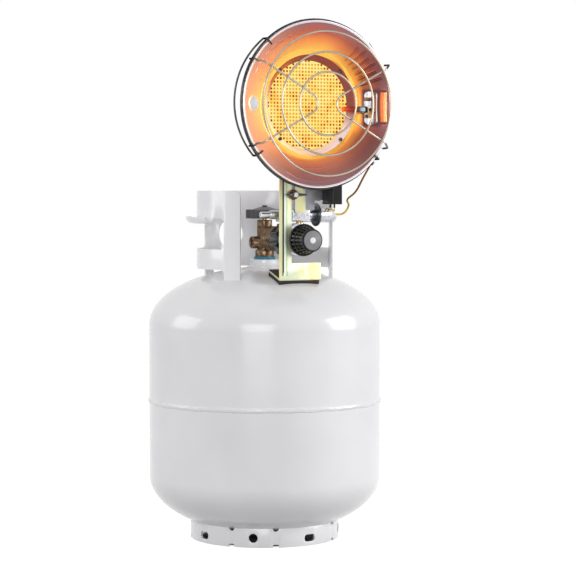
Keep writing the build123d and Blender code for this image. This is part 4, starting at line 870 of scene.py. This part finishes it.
def make_weld():
    """The girth weld: a bead with the ripples and the wander of one pass."""
    low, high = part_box("weld_band")
    shell = (high.x - low.x) / 2 / MM - bead_proud
    centre, half = (low.z + high.z) / 2 / MM, bead_spread * (high.z - low.z) / 2 / MM
    profile = [(shell - bead_root, centre - half), (shell - bead_root, centre + half)]
    for index in range(bead_points, -1, -1):
        share = index / bead_points * 2 - 1
        profile.append((shell + bead_proud * (1 - share * share) ** 0.6, centre + share * half))
    bm = lathe(profile, bead_steps)
    tidy(bm)
    for vert in bm.verts:
        radius = hypot(vert.co.x, vert.co.y)
        if radius > shell:
            outward = Vector((vert.co.x, vert.co.y, 0)) / radius
            wander = noise.noise(outward * wander_pace)
            ripple = noise.noise(outward * ripple_pace + Vector((0, 0, vert.co.z / 2)))
            scale = 1 + min(0.0, bead_ripple * ripple + bead_lean * wander - bead_trim) / radius
            vert.co.x *= scale
            vert.co.y *= scale
            vert.co.z += bead_wander * wander
    return piece(bm, "girth_weld", UPRIGHT, "heater", "white_enamel", "weld_band", smooth=60)


make_weld()


# ------------------------------------------------------------------ cylinder valve
outlet_radius, thread_start, thread_end = 16.6, 24.0, 52.0
thread_pitch, thread_depth = 7.0, 2.2
thread_cuts = 0.0, 1.2, 3.0, 4.2        # where a groove starts, reaches its root, leaves it and ends
thread_run_in = 2.5
outlet_skin = outlet_radius - 0.3


def make_valve_body():
    """The forged valve body, its outlet cut with a coarse thread that shows behind the nut."""
    bm = copy_of("tank_valve_body")
    bm.transform(OUTLET.inverted())
    bmesh.ops.recalc_face_normals(bm, faces=bm.faces)
    turns = int((thread_end - thread_start) / thread_pitch)
    roots = []
    for turn in range(turns):
        start = thread_start + turn * thread_pitch
        for cut in thread_cuts:
            near = [
                face for face in bm.faces
                if max(vert.co.z for vert in face.verts) > thread_start - thread_run_in
                and min(hypot(vert.co.x, vert.co.y) for vert in face.verts) > outlet_skin
            ]
            geom = near + once(edge for face in near for edge in face.edges)
            geom += once(vert for face in near for vert in face.verts)
            bmesh.ops.bisect_plane(bm, geom=geom, dist=1e-4, plane_co=(0, 0, start + cut), plane_no=(0, 0, 1))
        roots += [start + cut for cut in thread_cuts[1:3]]
    for vert in bm.verts:
        if hypot(vert.co.x, vert.co.y) > outlet_skin:
            if any(abs(vert.co.z - root) < 0.05 for root in roots):
                vert.co.x *= (outlet_radius - thread_depth) / outlet_radius
                vert.co.y *= (outlet_radius - thread_depth) / outlet_radius
    soften(bm, 0.4, 1, 50)
    return piece(bm, "cylinder_valve", OUTLET, "heater", "forged_brass", "tank_valve_body", smooth=50)


make_valve_body()


# ------------------------------------------------------------------ knob
knob_back = -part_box("control_knob")[1].y / MM
hoops = (9.5, 18.4, 1.6), (16.5, 16.7, 1.2)     # place from the knob's back, radius and width of each
hoop_depth, hoop_taper = 2.2, 0.1       # the hoops' inside lies in the knob's core


def make_knob_hoops():
    """Two thin hoops that tie the knob's ribs together, so that the ribs stand in two rows of pockets."""
    bm = bmesh.new()
    for place, radius, width in hoops:
        rear, front = knob_back + place, knob_back + place + width
        hoop = lathe([
            (radius - hoop_depth, rear), (radius, rear), (radius - hoop_taper * width, front),
            (radius - hoop_depth, front),
        ], 96)
        mesh = bpy.data.meshes.new("hoop")
        hoop.to_mesh(mesh)
        hoop.free()
        bm.from_mesh(mesh)
    return piece(bm, "knob_hoops", OUTLET, "knob", "black_nylon", smooth=30)


make_knob_hoops()


# ------------------------------------------------------------------ small fittings
def block(across, up, forward, corner=0.5):
    """A block between limits in mm, with its forward corners rounded and its edges broken."""
    bm = bmesh.new()
    limits = (across, up, forward)
    centre = Matrix.Translation([(low + high) / 2 for low, high in limits])
    bmesh.ops.create_cube(bm, matrix=centre @ Matrix.Diagonal((*[high - low for low, high in limits], 1)))
    corners = [edge for edge in bm.edges if abs(edge.verts[0].co.z - edge.verts[1].co.z) > 0.1]
    bmesh.ops.bevel(
        bm, geom=corners, offset=corner, offset_type="OFFSET", segments=5, profile=0.5, affect="EDGES",
        clamp_overlap=True, material=-1,
    )
    soften(bm, 0.2, 1, 60)
    return bm


def joined(forms):
    """One bmesh from pairs of a bmesh and the number of its material."""
    whole = bmesh.new()
    for form, number in forms:
        tidy(form)
        for face in form.faces:
            face.material_index = number
        mesh = bpy.data.meshes.new("form")
        form.to_mesh(mesh)
        form.free()
        whole.from_mesh(mesh)
    return whole


column_width, column_sheet, column_step = 7.9, 1.2, 5.0
column_foot, column_top = -26.5, 21.0
plate_front, tint_front = 2.2, 3.4      # faces of the plates, in front of the strap's back
probe_up, tab_half = -5.0, 4.2
tint_z, plate_z = (-2.8, 6.0), (-16.0, -3.4)


def make_probe_bracket():
    """The strap in the window: two columns in steps, plates on the inner one, and the tab for the probe."""
    low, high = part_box("thermocouple_bracket")
    left, right, back, front = low.x / MM, high.x / MM, -high.y / MM, -low.y / MM
    fold, tall = left + column_width, (column_foot, column_top)
    outer_back, outer_front = back + column_step, back + column_step + column_sheet
    tab = probe_up - tab_half, probe_up + tab_half
    forms = [(form, 0) for form in (
        block((left, fold), tall, (back, back + column_sheet), 3.2),
        block((fold, fold + column_sheet), tall, (back, outer_front)),
        block((fold, right), tall, (outer_back, outer_front), 3.0),
        block((left + 0.3, fold - 0.3), tint_z, (back, back + tint_front)),
        block((left + 0.3, fold - 0.2), plate_z, (back, back + plate_front)),
        block((left, left + column_sheet), tab, (back, front - 2.0), 2.0),
    )]
    for across, up, seat, radius in (
        (79.6, -13.4, back + plate_front, 2.3), (89.0, -4.0, outer_front, 1.1),
        (89.0, -8.6, outer_front, 1.1), (87.0, 9.0, outer_front, 0.9),
    ):
        screw = lathe([
            (0, seat), (radius, seat), (radius, seat + 0.3), (radius * 0.8, seat + 0.5), (0, seat + 0.5),
        ], 24, closed=False)
        screw.transform(Matrix.Translation((across, up, 0)))
        forms.append((screw, 1))
    slot = slot_of["thermocouple_bracket"]
    made = piece(joined(forms), "probe_bracket", HEAD, "heater", slot, "thermocouple_bracket")
    made.data.materials.append(brown_lacquer)


make_probe_bracket()


def make_wing_screw():
    """The wing screw: a lacquered flange, a bright boss with a dimple, and two wings that taper outwards."""
    low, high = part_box("wing_screw")
    tip, end, reach = -high.y / MM, -low.y / MM, (high.x - low.x) / 2 / MM
    seat = 104.2            # back of the flange
    boss, dimple = seat + 8.4, seat + 7.6
    forms = [
        (lathe([(0, tip), (2.3, tip), (2.3, seat + 0.2), (0, seat + 0.2)], 32, closed=False), 0),
        (lathe([
            (0, seat), (6.0, seat), (6.4, seat + 0.4), (6.4, seat + 2.0), (5.8, seat + 2.6), (0, seat + 2.6),
        ], 48, closed=False), 1),
        (lathe([
            (0, seat + 2), (3.6, seat + 2), (3.4, dimple), (2.8, boss), (1.2, boss), (0.9, dimple),
            (0, dimple),
        ], 40, closed=False), 2),
    ]
    for side in (-1, 1):
        wing = bmesh.new()
        for across, half, front, rear in (
            (2.6, 2.3, end - 3.0, seat + 3.2), (8.0, 1.5, end - 1.0, seat + 3.8),
            (reach, 0.7, end, end - 4.0),
        ):
            for up in (-half, half):
                wing.verts.new((side * across, up, front))
                wing.verts.new((side * across, up, rear))
        bmesh.ops.convex_hull(wing, input=wing.verts)
        soften(wing, 0.35, 2, 30)
        forms.append((wing, 0))
    centre = middle("wing_screw")
    place = turned_forward(centre.z) @ Matrix.Translation((centre.x / MM, 0, 0))
    slot = slot_of["wing_screw"]
    made = piece(joined(forms), "wing_screw_turned", place, "clamp_screw", slot, "wing_screw")
    for metal in (brown_lacquer, nickel_steel):
        made.data.materials.append(metal)


make_wing_screw()


# ------------------------------------------------------------------ softened nodes
for node, name, width in (
    ("collar", "valve_collar", 0.9), ("foot_ring", "base_ring", 0.7),
    ("support_bracket", "zinc_bracket", 0.35), ("valve_bonnet", "bonnet_hexagon", 0.4),
    ("coupling_nut", "lobed_nut", 0.5), ("valve_handwheel", "lobed_handwheel", 0.6),
    ("tilt_switch", "tilt_switch_case", 0.8), ("head_channel", "steel_channel", 0.3),
    ("safety_valve_body", "safety_valve", 0.4), ("valve_clamp", "clamp_disc", 0.4),
    ("regulator_body", "regulator_casting", 0.5), ("regulator_cover", "regulator_lid", 0.4),
    ("rubber_foot", "rubber_pad", 0.6), ("burner_bezel", "plaque_bezel", 0.25),
    ("lead_clip", "lead_clip_bent", 0.4), ("knob_cap", "knob_face", 0.15), ("burner_box", "burner_can", 0.5),
):
    softened(node, name, width)


# ------------------------------------------------------------------ stage
foot_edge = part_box("foot_ring")[1].x
dark_floor, white_floor = foot_edge - 16 * MM, foot_edge - 8 * MM    # no white shows inside the foot ring
floor_size = 9.0
floor_glow = 0.85       # share of white that the floor gives by itself where it is seen
room_light = 0.42       # what the white room gives as light


def make_stage():
    """A pale floor: seen directly or in gloss it is near white by its own colour, and keeps the shadow."""
    bm = bmesh.new()
    bmesh.ops.create_circle(bm, cap_ends=True, segments=96, radius=floor_size)
    mesh = bpy.data.meshes.new("floor")
    bm.to_mesh(mesh)
    bm.free()
    floor = bpy.data.objects.new("floor", mesh)
    scene.collection.objects.link(floor)
    made, tree = blank("pale_floor")
    seen = seen_background(tree)
    where = add(tree, "TexCoord").outputs["Object"]
    away = add(tree, "VectorMath", {0: where}, operation="LENGTH")
    outside = add(tree, "MapRange", {"Value": away, "From Min": dark_floor, "From Max": white_floor})
    lift = add(tree, "Math", {0: seen, 1: outside}, operation="MULTIPLY")
    lift = add(tree, "Math", {0: lift, 1: floor_glow}, operation="MULTIPLY")
    grey = add(tree, "Mix", {"Factor": seen, 6: "#a4a4a4", 7: "#a6a6a6"}, data_type="RGBA")
    matte = add(tree, "BsdfDiffuse", {"Color": grey})
    own = add(tree, "Emission", {"Color": "#ffffff", "Strength": lift})
    add(tree, "OutputMaterial", {"Surface": add(tree, "AddShader", {0: matte, 1: own})})
    mesh.materials.append(made)


def seen_background(tree):
    """1 where the background is seen directly, in gloss or through glass, and 0 where it only lights."""
    path = add(tree, "LightPath").outputs
    mirrored = add(tree, "Math", {
        0: path["Is Glossy Ray"], 1: path["Is Transmission Ray"],
    }, operation="MAXIMUM")
    return add(tree, "Math", {0: path["Is Camera Ray"], 1: mirrored}, operation="MAXIMUM")


def make_world():
    """A white room: full white where it is seen, and softer as light."""
    world = bpy.data.worlds.new("studio")
    scene.world = world
    world.use_nodes = True
    tree = world.node_tree
    tree.nodes.clear()
    plain, white = [
        add(tree, "Background", {"Color": "#ffffff", "Strength": strength}) for strength in (room_light, 1.0)
    ]
    mix = add(tree, "MixShader", {0: seen_background(tree), 1: plain, 2: white})
    add(tree, "OutputWorld", {"Surface": mix})


def lamp(name, place, aim, size, watts, colour="#ffffff"):
    """A square soft lamp at a place that points at an aim."""
    data = bpy.data.lights.new(name, "AREA")
    data.shape, data.size, data.energy, data.color = "SQUARE", size, watts, linear(colour)[:3]
    made = bpy.data.objects.new(name, data)
    made.location = place
    made.rotation_euler = (Vector(aim) - Vector(place)).to_track_quat("-Z", "Y").to_euler()
    scene.collection.objects.link(made)
    return made


make_stage()
make_world()
tank_middle = (0, 0, 0.35)
lamp("key", (2.3, -1.5, 1.0), tank_middle, 1.6, 43)
lamp("fill", (-1.6, -2.5, 0.8), tank_middle, 1.5, 27)
lamp("top", (-0.3, -0.2, 2.6), tank_middle, 1.6, 2)
lamp("edge", (-2.0, 0.8, 0.9), tank_middle, 1.2, 12)
head_front = HEAD @ Vector((0, 0, -plaque_face + 1.5))
glow = lamp("burner_glow", head_front, head_front + Vector((0, -1, 0)), 0.1, 0.05, "#ff9a3c")
glow.visible_camera = False

scene.view_settings.view_transform = "Standard"
